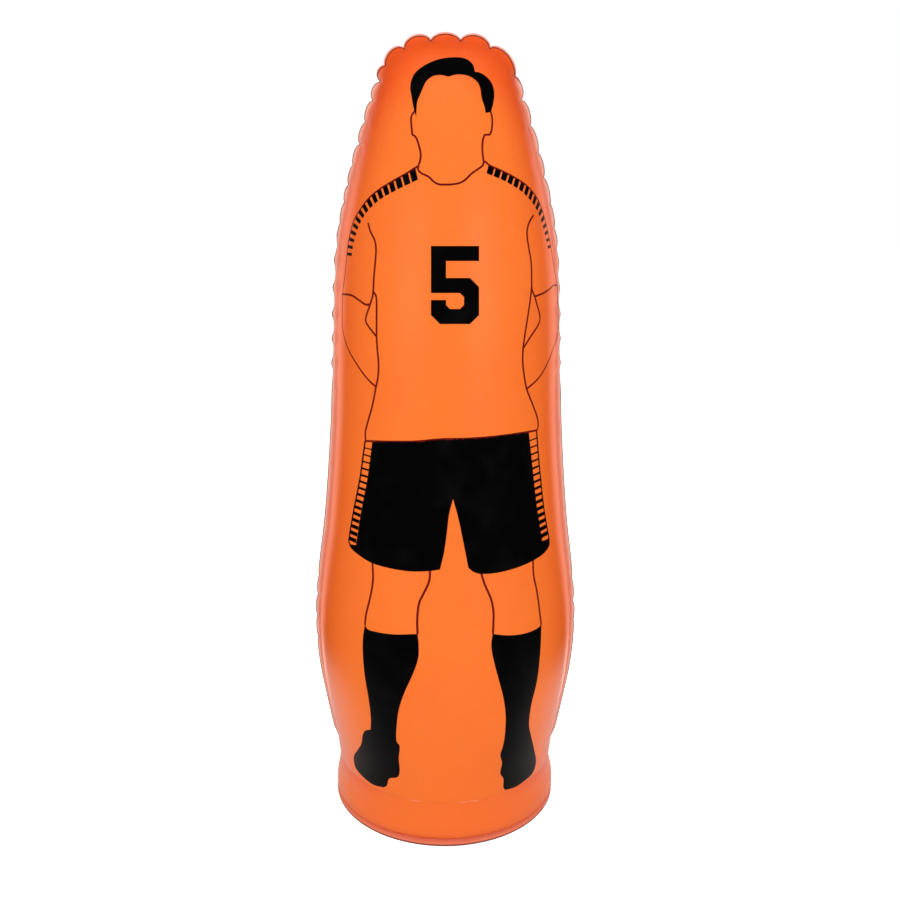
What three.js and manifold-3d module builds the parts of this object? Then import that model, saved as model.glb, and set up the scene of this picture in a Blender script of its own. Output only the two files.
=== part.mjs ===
// Inflatable free kick mannequin: two welded PVC film panels stand on a water filled foot.
// Millimetres, +Z up. The origin is the middle of the foot's underside, and the front faces -Y.

import * as THREE from 'three';
import { mergeVertices } from 'three/addons/utils/BufferGeometryUtils.js';
import Module from 'manifold-3d';

const wasm = await Module();
wasm.setup();

// Film, welds and clearance
const filmThickness = 0.5;
const footFilmThickness = 0.8;
const gap = 0.3;
const flangeWidth = 7;
const hemWidth = 14;

// Figure: the weld line is the outline seen from the front
const crownHeight = 1743;
const maxHalfWidth = 295;
const maxHalfDepth = 288;
const creaseHeight = 111;
const creaseRadius = 254;
const fanHeight = 1660;
const fanLength = 400;

// Puckers along the weld: lobes between notches, deepest at the crown
const lobeLength = 60;
const crownNotch = 13;
const shinNotch = 3;
const rightShinStart = 1252;
const leftShinStart = 1256;
const puckerReach = 45;
const lobeSteps = 4;
const plainStep = 70;
const coarseStep = 90;
const filmSteps = 6;

// Water foot
const footSpread = 8;
const footRadius = creaseRadius + footSpread;
const footBulge = 7;
const panRimHeight = 21;
const panCornerRadius = 16;
const footSegments = 48;
const footWallSteps = 5;

// Air valve, on the back
const airValveHeight = 452;
const airBore = 25;
const airNeckWall = 3;
const airNeckHeight = 7;
const airFlangeRadius = 30;
const valveFlangeThickness = 1.2;
const neckInside = 6;
const sealThickness = 1.2;
const insertCollarRadius = 17.5;
const insertCollarHeight = 4;
const insertDepth = 14;
const airSpoutRadius = 9;
const airSpoutHeight = 8;
const airSpoutBore = 12;
const spiderThickness = 1.6;
const spiderSpoke = 2.4;
const spiderSpokes = 3;
const flapThickness = 1;
const flapStemRadius = 1.2;
const flapTravel = 2;

// Water filler, on the foot's wall at the back
const fillerHeight = 61;
const fillerBore = 32;
const fillerNeckWall = 3;
const fillerNeckHeight = 15;
const fillerFlangeRadius = 31;

// Screw caps and their straps
const capWall = 2.4;
const capTop = 2.2;
const capRibs = 12;
const capRibDepth = 1.2;
const capSkirtGap = 1;
const strapRingWall = 2.4;
const strapThickness = 1.4;
const strapWidth = 7;
const airStrapLoop = 16;
const fillerStrapLoop = 20;
const roundSegments = 24;
const overrun = 2;

const full = 2 * Math.PI;
const quarter = Math.PI / 2;

const orangeFilm = material(0xfa753c, 0.28);
const orangeFoot = material(0xf6713a, 0.3);
const clearOrange = material(0xf07a45, 0.35);
const valveWhite = material(0xece9e2, 0.42);
const sealBlack = material(0x26262a, 0.7);

function material(color, roughness) {
  return new THREE.MeshStandardMaterial({ color, roughness, metalness: 0 });
}

// A solid from a closed geometry: shared corners are merged and flat triangles dropped
function solidOf(geometry) {
  const bare = new THREE.BufferGeometry();
  bare.setAttribute('position', geometry.getAttribute('position'));
  bare.setIndex(geometry.getIndex());
  const merged = mergeVertices(bare, 1e-4);
  const corners = merged.index.array;
  const triVerts = [];
  for (let i = 0; i < corners.length; i += 3) {
    const [a, b, c] = corners.slice(i, i + 3);
    if (a !== b && b !== c && c !== a) triVerts.push(a, b, c);
  }
  return new wasm.Manifold(new wasm.Mesh({
    numProp: 3,
    vertProperties: new Float32Array(merged.attributes.position.array),
    triVerts: new Uint32Array(triVerts),
  }));
}

function geometryOf(solid) {
  const mesh = solid.getMesh();
  const geometry = new THREE.BufferGeometry();
  geometry.setAttribute('position', new THREE.BufferAttribute(mesh.vertProperties, 3));
  geometry.setIndex(new THREE.BufferAttribute(mesh.triVerts, 1));
  return geometry;
}

// A turned solid about Y from [radius, distance along Y] pairs, outer side first and upwards
function turned(profile, segments) {
  const points = profile.map(([radius, along]) => new THREE.Vector2(radius, along));
  return new THREE.LatheGeometry([...points, points[0]], segments);
}

function turnedUpright(profile, segments) {
  return turned(profile, segments).rotateX(quarter);
}

function barrel(radius, from, to) {
  return turned([[0, from], [radius, from], [radius, to], [0, to]], roundSegments);
}

function tube(outer, inner, from, to) {
  return turned([[outer, from], [outer, to], [inner, to], [inner, from]], roundSegments);
}

// The weld line, from the crease on the left over the crown to the crease on the right.
// Each station is a share of the height above the crease and a share of the widest half.
const outlineShares = [
  [1.0, 0], [0.999, 0.17], [0.9905, 0.304], [0.972, 0.411], [0.943, 0.486], [0.903, 0.56],
  [0.851, 0.645], [0.796, 0.72], [0.741, 0.775], [0.686, 0.8], [0.612, 0.818],
  [0.526, 0.835], [0.441, 0.868], [0.361, 0.91], [0.287, 0.965], [0.232, 0.996],
  [0.189, 1.0], [0.134, 0.98], [0.073, 0.926], [0.024, 0.878],
];
const depthShares = [
  [0.024, 0.897], [0.073, 0.945], [0.134, 0.985], [0.189, 1.0], [0.232, 0.9965],
  [0.287, 0.962], [0.361, 0.9], [0.441, 0.851], [0.526, 0.816], [0.612, 0.792],
  [0.686, 0.762], [0.741, 0.726], [0.796, 0.67], [0.851, 0.59], [0.903, 0.487],
  [0.949, 0.372], [0.98, 0.262],
];

const panelFoot = creaseHeight + filmThickness / 2 + gap;
const panelRise = crownHeight - panelFoot;
const heightAt = (share) => panelFoot + panelRise * share;
const rightOutline = outlineShares.map(
  ([height, width]) => new THREE.Vector3(maxHalfWidth * width, 0, heightAt(height)),
);
rightOutline.push(new THREE.Vector3(creaseRadius, 0, panelFoot));
const leftOutline = rightOutline.slice(1).reverse()
  .map((point) => new THREE.Vector3(-point.x, 0, point.z));
const outline = new THREE.CatmullRomCurve3([...leftOutline, ...rightOutline], false, 'centripetal');
outline.arcLengthDivisions = 2000;
const outlineLength = outline.getLength();
const sideLength = outlineLength / 2;

// How deep the figure is on its middle line at a height
const depthCurve = new THREE.CubicInterpolant(
  [panelFoot, ...depthShares.map(([height]) => heightAt(height))],
  [creaseRadius, ...depthShares.map(([, depth]) => maxHalfDepth * depth)],
  1,
);
const depthAt = (height) => depthCurve.evaluate(height)[0];

const alongSeam = (s) => Math.min(Math.max(0.5 + s / outlineLength, 0), 1);
const seamPoint = (s) => outline.getPointAt(alongSeam(s));

function seamOutward(s) {
  const tangent = outline.getTangentAt(alongSeam(s));
  return new THREE.Vector3(-tangent.z, 0, tangent.x);
}

// Over the crown the film fans out from the middle line; lower down it runs level
function middleHeight(s) {
  const share = Math.abs(s) / fanLength;
  if (share >= 1) return seamPoint(s).z;
  return fanHeight + (seamPoint(fanLength).z - fanHeight) * share ** 2;
}

// A point of the smooth film: angle 0 is the weld line and a quarter turn is the middle line
function smoothPoint(s, angle, side) {
  const seam = seamPoint(s);
  const middle = middleHeight(s);
  const lift = seam.z - middle;
  const step = filmThickness;
  const slope = (depthAt(middle - step) - depthAt(middle + step)) / (2 * step);
  const skew = lift * slope;
  const across = depthAt(middle) - skew;
  return new THREE.Vector3(
    seam.x * Math.cos(angle),
    side * (skew * (1 - Math.cos(angle)) + across * Math.sin(angle)),
    middle + lift * Math.cos(angle),
  );
}

// How far the film swings per radian just inside the weld line
function acrossAt(s) {
  return Math.abs(smoothPoint(s, quarter, 1).y - smoothPoint(s, 0, 1).y);
}

function smoothOutward(s, angle, side) {
  const turn = 0.01;
  const step = filmThickness;
  const alongFilm = smoothPoint(s, angle + turn, side).sub(smoothPoint(s, angle, side));
  const alongWeld = smoothPoint(s + step, angle, side).sub(smoothPoint(s - step, angle, side));
  return alongFilm.cross(alongWeld).multiplyScalar(-side).normalize();
}

// Lobes between the notches of each side, as shares of a usual lobe. The upper ones run down from
// the crown's middle to the waist, and the shin ones start at their own places on the weld line.
const rightLobeShares = [
  0.43, 1.05, 1.3, 0.8, 0.92, 0.95, 0.88, 0.95, 0.87, 0.75, 0.9, 0.95, 0.95, 0.87, 0.95,
];
const leftLobeShares = [
  0.58, 0.97, 0.87, 0.55, 0.67, 0.77, 0.77, 0.75, 0.7, 0.62, 0.72, 0.82, 1.02, 0.98, 0.97, 0.85, 0.98,
];
const rightShinLobeShares = [0.85, 0.95, 0.83, 0.8];
const leftShinLobeShares = [0.73, 0.78, 0.95, 0.9, 0.8];
const notchFade = 1.2;
const depthWander = 0.25;
const wanderTurn = 2.4;

// Notches between lobes, with depthOf(share) at the share of their stretch that lies behind them
function notchesAlong(start, lobeShares, depthOf) {
  const total = lobeShares.reduce((sum, share) => sum + share, 0);
  let passed = 0;
  return lobeShares.map((lobe, i) => {
    passed += lobe;
    const wander = 1 + depthWander * Math.sin(wanderTurn * i);
    const depth = depthOf(Math.min(passed / total, 1)) * wander;
    return { at: start + passed * lobeLength, depth, lean: i % 2 === 0 ? 1 : -1 };
  });
}

function notchesOf(lobeShares, shinStart, shinLobeShares) {
  const upper = notchesAlong(0, lobeShares, (share) => crownNotch * (1 - share) ** notchFade);
  const shin = notchesAlong(shinStart, shinLobeShares, (share) => shinNotch * Math.sin(Math.PI * share));
  return [...upper, { at: shinStart, depth: 0, lean: 1 }, ...shin];
}

const rightNotches = notchesOf(rightLobeShares, rightShinStart, rightShinLobeShares);
const leftNotches = notchesOf(leftLobeShares, leftShinStart, leftShinLobeShares)
  .map((notch) => ({ ...notch, at: -notch.at }))
  .reverse();
const notches = [...leftNotches, ...rightNotches];

// How far the weld is drawn in at s, and how far it leans to one side
function puckerAt(s) {
  const after = notches.findIndex((notch) => notch.at > s);
  if (after <= 0) return { inset: 0, lean: 0 };
  const [a, b] = [notches[after - 1], notches[after]];
  const share = (s - a.at) / (b.at - a.at);
  const sag = 1 - Math.sin(Math.PI * share);
  return {
    inset: sag * (a.depth + (b.depth - a.depth) * share),
    lean: sag * (a.depth * a.lean + (b.depth * b.lean - a.depth * a.lean) * share),
  };
}

// A point of the puckered film, at a distance from the weld line along the film
const leanShare = 0.3;

function filmPoint(s, distance, side) {
  const angle = distance / acrossAt(s);
  const point = smoothPoint(s, angle, side);
  const fade = Math.max(1 - distance / puckerReach, 0) ** 2;
  const { inset, lean } = puckerAt(s);
  const outward = distance > 0 ? smoothOutward(s, angle, side) : seamOutward(s);
  point.addScaledVector(outward, -inset * fade);
  point.y += lean * leanShare * fade + side * (gap / 2 + filmThickness);
  return point;
}

// Stations along the weld: fine over the puckers, wider where the weld runs plain
function fineStations() {
  const marks = [-sideLength, ...notches.map((notch) => notch.at), sideLength];
  const stations = [];
  for (let i = 0; i + 1 < marks.length; i += 1) {
    const span = marks[i + 1] - marks[i];
    const plain = span > 2 * lobeLength || i === 0 || i + 2 === marks.length;
    const steps = plain ? Math.max(Math.round(span / plainStep), 1) : lobeSteps;
    for (let k = 0; k < steps; k += 1) stations.push(marks[i] + (span * k) / steps);
  }
  stations.push(sideLength);
  return stations;
}

function coarseStations() {
  const steps = Math.round(sideLength / coarseStep);
  const stations = [];
  for (let k = -steps; k <= steps; k += 1) stations.push((sideLength * k) / steps);
  return stations;
}

// One side of a panel as lines that run along the weld, from the flange's edge inwards
function panelLines(side) {
  const fine = fineStations();
  const coarse = coarseStations();
  const line = (stations, place) => stations.map((s) => ({ at: s, point: place(s) }));
  const flangeEdge = (s) => {
    const toCrease = Math.min((sideLength - Math.abs(s)) / puckerReach, 1);
    const width = flangeWidth * Math.max(toCrease, 1 / flangeWidth);
    return filmPoint(s, 0, side).addScaledVector(seamOutward(s), width);
  };
  const lines = [line(fine, flangeEdge)];
  const fineDistanceShares = [0, 0.3, 1];
  for (const share of fineDistanceShares) {
    lines.push(line(fine, (s) => filmPoint(s, puckerReach * share, side)));
  }
  for (let k = 1; k <= filmSteps; k += 1) {
    lines.push(line(coarse, (s) => {
      const start = puckerReach / acrossAt(s);
      const angle = start + ((quarter - start) * k) / filmSteps;
      return filmPoint(s, angle * acrossAt(s), side);
    }));
  }
  return lines;
}

// Triangles between two neighbouring lines of a sheet
function zip(sheet, a, b, side) {
  let i = 0;
  let j = 0;
  while (i + 1 < a.length || j + 1 < b.length) {
    const nextA = i + 1 < a.length ? a[i].at + a[i + 1].at : Infinity;
    const nextB = j + 1 < b.length ? b[j].at + b[j + 1].at : Infinity;
    const corners = nextA <= nextB
      ? [a[i].point, b[j].point, a[i + 1].point]
      : [a[i].point, b[j].point, b[j + 1].point];
    if (side > 0) corners.reverse();
    sheet.push(...corners);
    if (nextA <= nextB) i += 1;
    else j += 1;
  }
}

// The inward hem below the crease, from the weld line round the outside to the other weld line
function zipHem(sheet, lines, side) {
  const film = lines.slice(1);
  const right = film.map((line) => line[line.length - 1].point);
  const left = film.map((line) => line[0].point).slice(0, -1).reverse();
  const share = 1 - hemWidth / creaseRadius;
  const foot = [...right, ...left].map((point, at) => ({ at, point }));
  const inner = foot.map(({ at, point }) => ({
    at,
    point: new THREE.Vector3(point.x * share, point.y * share, point.z),
  }));
  zip(sheet, inner, foot, side);
}

function panelSheet(side) {
  const corners = [];
  const lines = panelLines(side);
  for (let i = 0; i + 1 < lines.length; i += 1) zip(corners, lines[i], lines[i + 1], side);
  zipHem(corners, lines, side);
  return mergeVertices(new THREE.BufferGeometry().setFromPoints(corners), 1e-3);
}

// Offsets of a sheet's corners that keep the film's thickness across its folds
function inwardSteps(position, faces) {
  const sums = Array.from({ length: position.count }, () => new THREE.Vector3());
  const areas = new Array(position.count).fill(0);
  const at = (i) => new THREE.Vector3().fromBufferAttribute(position, i);
  for (const [a, b, c] of faces) {
    const cross = at(b).sub(at(a)).cross(at(c).sub(at(a)));
    for (const corner of [a, b, c]) {
      sums[corner].add(cross);
      areas[corner] += cross.length();
    }
  }
  const mostMitre = 1.4;
  return sums.map((sum, i) => {
    const mitre = Math.min(areas[i] / sum.length(), mostMitre);
    return sum.normalize().multiplyScalar(-mitre);
  });
}

// A closed layer between two depths under a sheet, for the faces that keep(centre) allows
function layer(sheet, from, to, keep = () => true) {
  const position = sheet.getAttribute('position');
  const at = (i) => new THREE.Vector3().fromBufferAttribute(position, i);
  const all = [];
  for (let i = 0; i < sheet.index.count; i += 3) {
    const face = [sheet.index.getX(i), sheet.index.getX(i + 1), sheet.index.getX(i + 2)];
    if (new Set(face).size === 3) all.push(face);
  }
  const steps = inwardSteps(position, all);
  const faces = all.filter(([a, b, c]) => keep(at(a).add(at(b)).add(at(c)).divideScalar(3)));
  const edges = new Map();
  for (const face of faces) {
    face.forEach((a, k) => edges.set(`${a}_${face[(k + 1) % 3]}`, [a, face[(k + 1) % 3]]));
  }
  const outer = (i) => at(i).addScaledVector(steps[i], from);
  const inner = (i) => at(i).addScaledVector(steps[i], to);
  const corners = [];
  for (const [a, b, c] of faces) {
    corners.push(outer(a), outer(b), outer(c), inner(a), inner(c), inner(b));
  }
  for (const [a, b] of edges.values()) {
    if (edges.has(`${b}_${a}`)) continue;
    corners.push(outer(b), outer(a), inner(a), outer(b), inner(a), inner(b));
  }
  return solidOf(mergeVertices(new THREE.BufferGeometry().setFromPoints(corners), 1e-5));
}

const group = new THREE.Group();

function addPart(name, solid, look) {
  const mesh = new THREE.Mesh(geometryOf(solid), look);
  mesh.name = name;
  group.add(mesh);
}

// A solid turned about Y and moved to its place on the back, along Y and up
function placed(solid, along, height) {
  return solid.translate([0, along, height]);
}

// Film panels, with the hole for the air valve's neck in the back one
const frontSheet = panelSheet(-1);
const backSheet = panelSheet(1);
const airFace = depthAt(airValveHeight) + gap / 2 + filmThickness;
const airNeckRadius = airBore / 2 + airNeckWall;
const airHole = placed(
  solidOf(barrel(airNeckRadius + gap, -airFlangeRadius, airFlangeRadius)), airFace, airValveHeight,
);
addPart('front_panel', layer(frontSheet, 0, filmThickness), orangeFilm);
addPart('back_panel', layer(backSheet, 0, filmThickness).subtract(airHole), orangeFilm);

// Divider between the air above and the water below, welded between the two hems
const dividerLow = creaseHeight - filmThickness / 2;
const dividerHigh = creaseHeight + filmThickness / 2;
const divider = turnedUpright(
  [[0, dividerLow], [creaseRadius, dividerLow], [creaseRadius, dividerHigh], [0, dividerHigh]],
  footSegments,
);
addPart('divider', solidOf(divider), orangeFoot);

// The foot's wall bulges between the crease and the pan's rim, and its top hem turns inwards
const wallTop = dividerLow - gap;
const wallFoot = footFilmThickness + gap;
const wallFootRadius = footRadius - footFilmThickness - gap;

function wallRadius(height) {
  const share = (wallTop - height) / (wallTop - wallFoot);
  return creaseRadius + (wallFootRadius - creaseRadius) * share + footBulge * 4 * share * (1 - share);
}

// The wall's line at a depth under its outer face, from the pan's corner up to the hem's edge
function wallLine(depth) {
  const line = [];
  const low = panCornerRadius;
  const high = wallTop - depth;
  for (let k = 0; k <= footWallSteps; k += 1) {
    const height = low + ((high - low) * k) / footWallSteps;
    line.push([wallRadius(height) - depth, height]);
  }
  line.push([creaseRadius - hemWidth, high]);
  return line;
}

function wallLayer(from, to) {
  const outer = wallLine(from);
  const inner = wallLine(to).reverse();
  return turnedUpright([...outer, ...inner], footSegments);
}

const fillerFace = wallRadius(fillerHeight);
const fillerNeckRadius = fillerBore / 2 + fillerNeckWall;
const fillerHole = placed(
  solidOf(barrel(fillerNeckRadius + gap, -fillerFlangeRadius, fillerFlangeRadius)),
  fillerFace,
  fillerHeight,
);
const footWall = solidOf(wallLayer(0, filmThickness)).subtract(fillerHole);
addPart('foot_wall', footWall, orangeFoot);

// The foot's bottom is a shallow pan whose rim laps the wall on the outside
const panSteps = 3;

function panLine(depth) {
  const line = [];
  const centre = footRadius - panCornerRadius;
  for (let k = 0; k <= panSteps; k += 1) {
    const angle = (quarter * k) / panSteps;
    line.push([
      centre + (panCornerRadius - depth) * Math.sin(angle),
      panCornerRadius - (panCornerRadius - depth) * Math.cos(angle),
    ]);
  }
  return line;
}

const footPan = turnedUpright(
  [
    [0, 0], ...panLine(0), [footRadius, panRimHeight],
    [footRadius - footFilmThickness, panRimHeight],
    ...panLine(footFilmThickness).reverse(), [0, footFilmThickness],
  ],
  footSegments,
);
addPart('foot_bottom', solidOf(footPan), orangeFoot);

// A weld flange that follows the film's inside, with a round neck that runs through it and the film
function neckedFlange(film, radius, neckRadius, bore, neckHeight, face, height) {
  const disc = solidOf(barrel(radius, -radius, radius));
  const neck = solidOf(barrel(neckRadius, -neckInside, neckHeight));
  const hole = solidOf(barrel(bore / 2, -2 * radius, neckHeight + overrun));
  return film.intersect(placed(disc, face, height))
    .add(placed(neck, face, height))
    .subtract(placed(hole, face, height));
}

const flangeTop = filmThickness + gap;
const flangeFoot = flangeTop + valveFlangeThickness;
const nearAirValve = (centre) => Math.hypot(centre.x, centre.z - airValveHeight) < 6 * airFlangeRadius;
const airFlangeFilm = layer(backSheet, flangeTop, flangeFoot, nearAirValve);
const airBase = neckedFlange(
  airFlangeFilm, airFlangeRadius, airNeckRadius, airBore, airNeckHeight, airFace, airValveHeight,
);
addPart('air_valve_base', airBase, clearOrange);

// Flat seal between the base's neck and the insert's collar
const sealFoot = airNeckHeight + gap;
const collarFoot = sealFoot + sealThickness + gap;
const insertBodyRadius = airBore / 2 - gap;
const airSeal = tube(airNeckRadius, insertBodyRadius + gap, sealFoot, sealFoot + sealThickness);
addPart('air_valve_seal', placed(solidOf(airSeal), airFace, airValveHeight), sealBlack);

// Screw insert: a tube with a collar and a spout, and a spider for the flap's stem
const insertFoot = collarFoot - insertDepth;
const collarTop = collarFoot + insertCollarHeight;
const spoutTop = collarTop + airSpoutHeight;
const insertTube = turned(
  [
    [insertBodyRadius, insertFoot], [insertBodyRadius, collarFoot],
    [insertCollarRadius, collarFoot], [insertCollarRadius, collarTop],
    [airSpoutRadius, collarTop], [airSpoutRadius, spoutTop],
    [airSpoutBore / 2, spoutTop], [airSpoutBore / 2, collarFoot],
    [airSpoutRadius, insertFoot + spiderThickness], [airSpoutRadius, insertFoot],
  ],
  roundSegments,
);

function spider() {
  const hub = solidOf(tube(2 * flapStemRadius, flapStemRadius + gap, insertFoot, insertFoot + spiderThickness));
  let arms = solidOf(tube(insertBodyRadius, airSpoutRadius, insertFoot, insertFoot + spiderThickness));
  for (let k = 0; k < spiderSpokes; k += 1) {
    const reach = insertBodyRadius - 2 * flapStemRadius;
    const spoke = new THREE.BoxGeometry(reach, spiderThickness, spiderSpoke);
    spoke.translate(flapStemRadius + gap + reach / 2, insertFoot + spiderThickness / 2, 0);
    spoke.rotateY((full * k) / spiderSpokes);
    arms = arms.add(solidOf(spoke));
  }
  return arms.add(hub);
}

const airInsert = solidOf(insertTube).add(spider());
addPart('air_valve_insert', placed(airInsert, airFace, airValveHeight), valveWhite);

// Rubber non-return flap: a disc under the spider, its stem through the hub and a bead above
const flapTop = insertFoot - gap;
const beadFoot = insertFoot + spiderThickness + gap + flapTravel;
const flap = turned(
  [
    [0, flapTop - flapThickness], [airSpoutRadius + flapThickness, flapTop - flapThickness],
    [airSpoutRadius + flapThickness, flapTop], [flapStemRadius, flapTop],
    [flapStemRadius, beadFoot], [2 * flapStemRadius, beadFoot],
    [2 * flapStemRadius, beadFoot + flapThickness], [0, beadFoot + flapThickness],
  ],
  roundSegments,
);
addPart('air_valve_flap', placed(solidOf(flap), airFace, airValveHeight), sealBlack);

// A ribbed screw cap over a spout, its washer, and the strap that keeps it
function ribbedCap(spoutRadius, skirtFoot, top) {
  const inner = spoutRadius + gap;
  const outer = inner + capWall;
  let cap = solidOf(barrel(outer, skirtFoot, top + capTop))
    .subtract(solidOf(barrel(inner, skirtFoot - overrun, top)));
  for (let k = 0; k < capRibs; k += 1) {
    const rib = new THREE.BoxGeometry(2 * capRibDepth, top + capTop - skirtFoot - strapRingWall, capRibDepth);
    rib.translate(outer, (skirtFoot + strapRingWall + top + capTop) / 2, 0);
    rib.rotateY((full * k) / capRibs);
    cap = cap.add(solidOf(rib));
  }
  return cap;
}

// Two rings, one loose round the neck and one round the cap's skirt, joined by a bent band
function strap(neckRadius, neckFoot, skirtRadius, skirtFoot, loop) {
  const low = [neckFoot, neckFoot + strapThickness];
  const high = [skirtFoot + gap, skirtFoot + gap + strapThickness];
  const ringRadius = skirtRadius + gap + strapRingWall;
  const neckRing = solidOf(tube(ringRadius, neckRadius + gap, ...low));
  const capRing = solidOf(tube(ringRadius, skirtRadius + gap, ...high));
  const from = ringRadius - strapRingWall / 2;
  const band = new THREE.Shape();
  band.moveTo(from, low[0]);
  band.lineTo(from + loop, low[0]);
  band.absarc(from + loop, (low[0] + high[1]) / 2, (high[1] - low[0]) / 2, -quarter, quarter, false);
  band.lineTo(from, high[1]);
  band.lineTo(from, high[0]);
  band.lineTo(from + loop, high[0]);
  const bend = (high[0] - low[1]) / 2;
  band.absarc(from + loop, (low[0] + high[1]) / 2, bend, quarter, -quarter, true);
  band.lineTo(from, low[1]);
  const strip = new THREE.ExtrudeGeometry(band, {
    depth: strapWidth, steps: 1, bevelEnabled: false, curveSegments: 6,
  });
  strip.translate(0, 0, -strapWidth / 2);
  return neckRing.add(capRing).add(solidOf(strip));
}

// Air cap on the insert's spout
const airSkirtFoot = collarTop + 2 * gap + strapThickness + capSkirtGap;
const airWasherFoot = spoutTop + gap;
const airWasherTop = airWasherFoot + sealThickness;
const airCap = ribbedCap(airSpoutRadius, airSkirtFoot, airWasherTop + gap);
const airWasher = solidOf(tube(airSpoutRadius, airSpoutBore / 2 - strapRingWall, airWasherFoot, airWasherTop));
const airStrap = strap(
  airSpoutRadius, collarTop + gap, airSpoutRadius + gap + capWall, airSkirtFoot, airStrapLoop,
);
addPart('air_cap_washer', placed(airWasher, airFace, airValveHeight), sealBlack);
addPart('air_cap', placed(airCap, airFace, airValveHeight), valveWhite);
addPart('air_cap_strap', placed(airStrap, airFace, airValveHeight), valveWhite);

// Water filler: a wider neck welded into the foot's wall, with the same kind of cap
const fillerFilm = solidOf(wallLayer(flangeTop, flangeFoot));
const fillerBase = neckedFlange(
  fillerFilm, fillerFlangeRadius, fillerNeckRadius, fillerBore, fillerNeckHeight, fillerFace, fillerHeight,
);
addPart('filler_base', fillerBase, clearOrange);

const fillerStrapFoot = 2 * capSkirtGap;
const fillerSkirtFoot = fillerStrapFoot + strapThickness + capSkirtGap;
const fillerWasherFoot = fillerNeckHeight + gap;
const fillerWasherTop = fillerWasherFoot + sealThickness;
const fillerCap = ribbedCap(fillerNeckRadius, fillerSkirtFoot, fillerWasherTop + gap);
const fillerWasher = solidOf(
  tube(fillerNeckRadius, fillerBore / 2 - strapRingWall, fillerWasherFoot, fillerWasherTop),
);
const fillerStrap = strap(
  fillerNeckRadius, fillerStrapFoot, fillerNeckRadius + gap + capWall, fillerSkirtFoot, fillerStrapLoop,
);
addPart('filler_washer', placed(fillerWasher, fillerFace, fillerHeight), sealBlack);
addPart('filler_cap', placed(fillerCap, fillerFace, fillerHeight), valveWhite);
addPart('filler_strap', placed(fillerStrap, fillerFace, fillerHeight), valveWhite);

export default group;
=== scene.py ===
# Inflatable free kick mannequin: an orange film figure on a water filled foot, with a faceless
# player printed on its front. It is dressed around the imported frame, in metres, with +Z up.

import math

import bmesh
import bpy
import numpy as np
from mathutils import Matrix, Vector, bvhtree, geometry, interpolate, noise


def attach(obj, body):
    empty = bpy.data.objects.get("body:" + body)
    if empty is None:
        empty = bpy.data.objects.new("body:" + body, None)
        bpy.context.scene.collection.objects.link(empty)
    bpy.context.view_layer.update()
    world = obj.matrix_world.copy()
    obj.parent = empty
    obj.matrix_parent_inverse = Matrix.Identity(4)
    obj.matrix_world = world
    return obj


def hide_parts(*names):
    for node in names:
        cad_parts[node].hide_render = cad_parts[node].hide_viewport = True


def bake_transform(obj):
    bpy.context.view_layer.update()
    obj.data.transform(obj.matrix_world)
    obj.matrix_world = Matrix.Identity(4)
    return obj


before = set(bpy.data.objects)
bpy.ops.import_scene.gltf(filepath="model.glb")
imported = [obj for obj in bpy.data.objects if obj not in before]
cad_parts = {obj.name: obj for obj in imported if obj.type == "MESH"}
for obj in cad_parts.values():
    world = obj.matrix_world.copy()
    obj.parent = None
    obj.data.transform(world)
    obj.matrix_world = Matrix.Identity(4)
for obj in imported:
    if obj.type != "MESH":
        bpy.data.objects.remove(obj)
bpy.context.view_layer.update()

# Camera. A 50 mm lens stands 2.67 m in front of the figure, a little above its head, and looks
# 18.7 degrees down on it, level but for a small roll.
photo_pixels = 900
lens = 50
sensor = 36
camera_place = Vector((0.00902, -2.6693, 1.7656))
camera_pitch = math.radians(18.679)
camera_roll = math.radians(0.327)


def add_object(name, data):
    made = bpy.data.objects.new(name, data)
    bpy.context.scene.collection.objects.link(made)
    return made


camera = add_object("camera", bpy.data.cameras.new("camera"))
camera.data.lens = lens
camera.data.sensor_width = sensor
camera.matrix_world = (
    Matrix.Translation(camera_place)
    @ Matrix.Rotation(math.pi / 2 - camera_pitch, 4, "X")
    @ Matrix.Rotation(camera_roll, 4, "Z")
)
bpy.context.scene.camera = camera
bpy.context.scene.view_settings.view_transform = "Standard"

# Studio. A white floor runs out under a white surround, and broad soft lamps stand in front, overhead
# and behind. The room mirrors as dim, so that black print stays black, but for a warm glow behind the
# figure that its rims mirror.
floor_half = 8
floor_drop = 0.0004
floor_grey = (0.8, 0.8, 0.8, 1)
floor_lift = 0.66
near_edges = (0.63, 1.04)
front_mirrored = 0.18
front_edges = (-0.45, 0.05)
ambient_light = 0.68
room_glow = 0.03
backdrop_edges = (0.56, 0.74)
backdrop_tops = (-0.02, 0.17)
white = (1, 1, 1, 1)
black = (0, 0, 0, 1)
card_colour = (1, 0.47, 0.35, 1)
card_level = 1.35
lamps = {
    "lamp_left": ((-1.9, -2.8, 1.5), 1.8, 29),
    "lamp_right": ((1.9, -2.8, 1.5), 1.8, 29),
    "lamp_top": ((0.0, -0.6, 3.6), 2.2, 17),
    "lamp_behind": ((0.6, 3.2, 1.6), 1.8, 31),
}
lamp_target = Vector((0, 0, 0.9))


def blank_tree(owner):
    """The emptied node tree of a material or a world."""
    owner.use_nodes = True
    owner.node_tree.nodes.clear()
    return owner.node_tree


def add_node(tree, kind, inputs=None, **settings):
    """A node with its settings and sockets; an input is a plain value or another node's output."""
    made = tree.nodes.new(kind)
    for name, value in settings.items():
        setattr(made, name, value)
    for socket, value in (inputs or {}).items():
        if isinstance(value, bpy.types.NodeSocket):
            tree.links.new(value, made.inputs[socket])
        else:
            made.inputs[socket].default_value = value
    return made


def math_node(tree, operation, first, second=0.0):
    return add_node(tree, "ShaderNodeMath", {0: first, 1: second}, operation=operation).outputs[0]


def product(tree, first, *others):
    for other in others:
        first = math_node(tree, "MULTIPLY", first, other)
    return first


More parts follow.
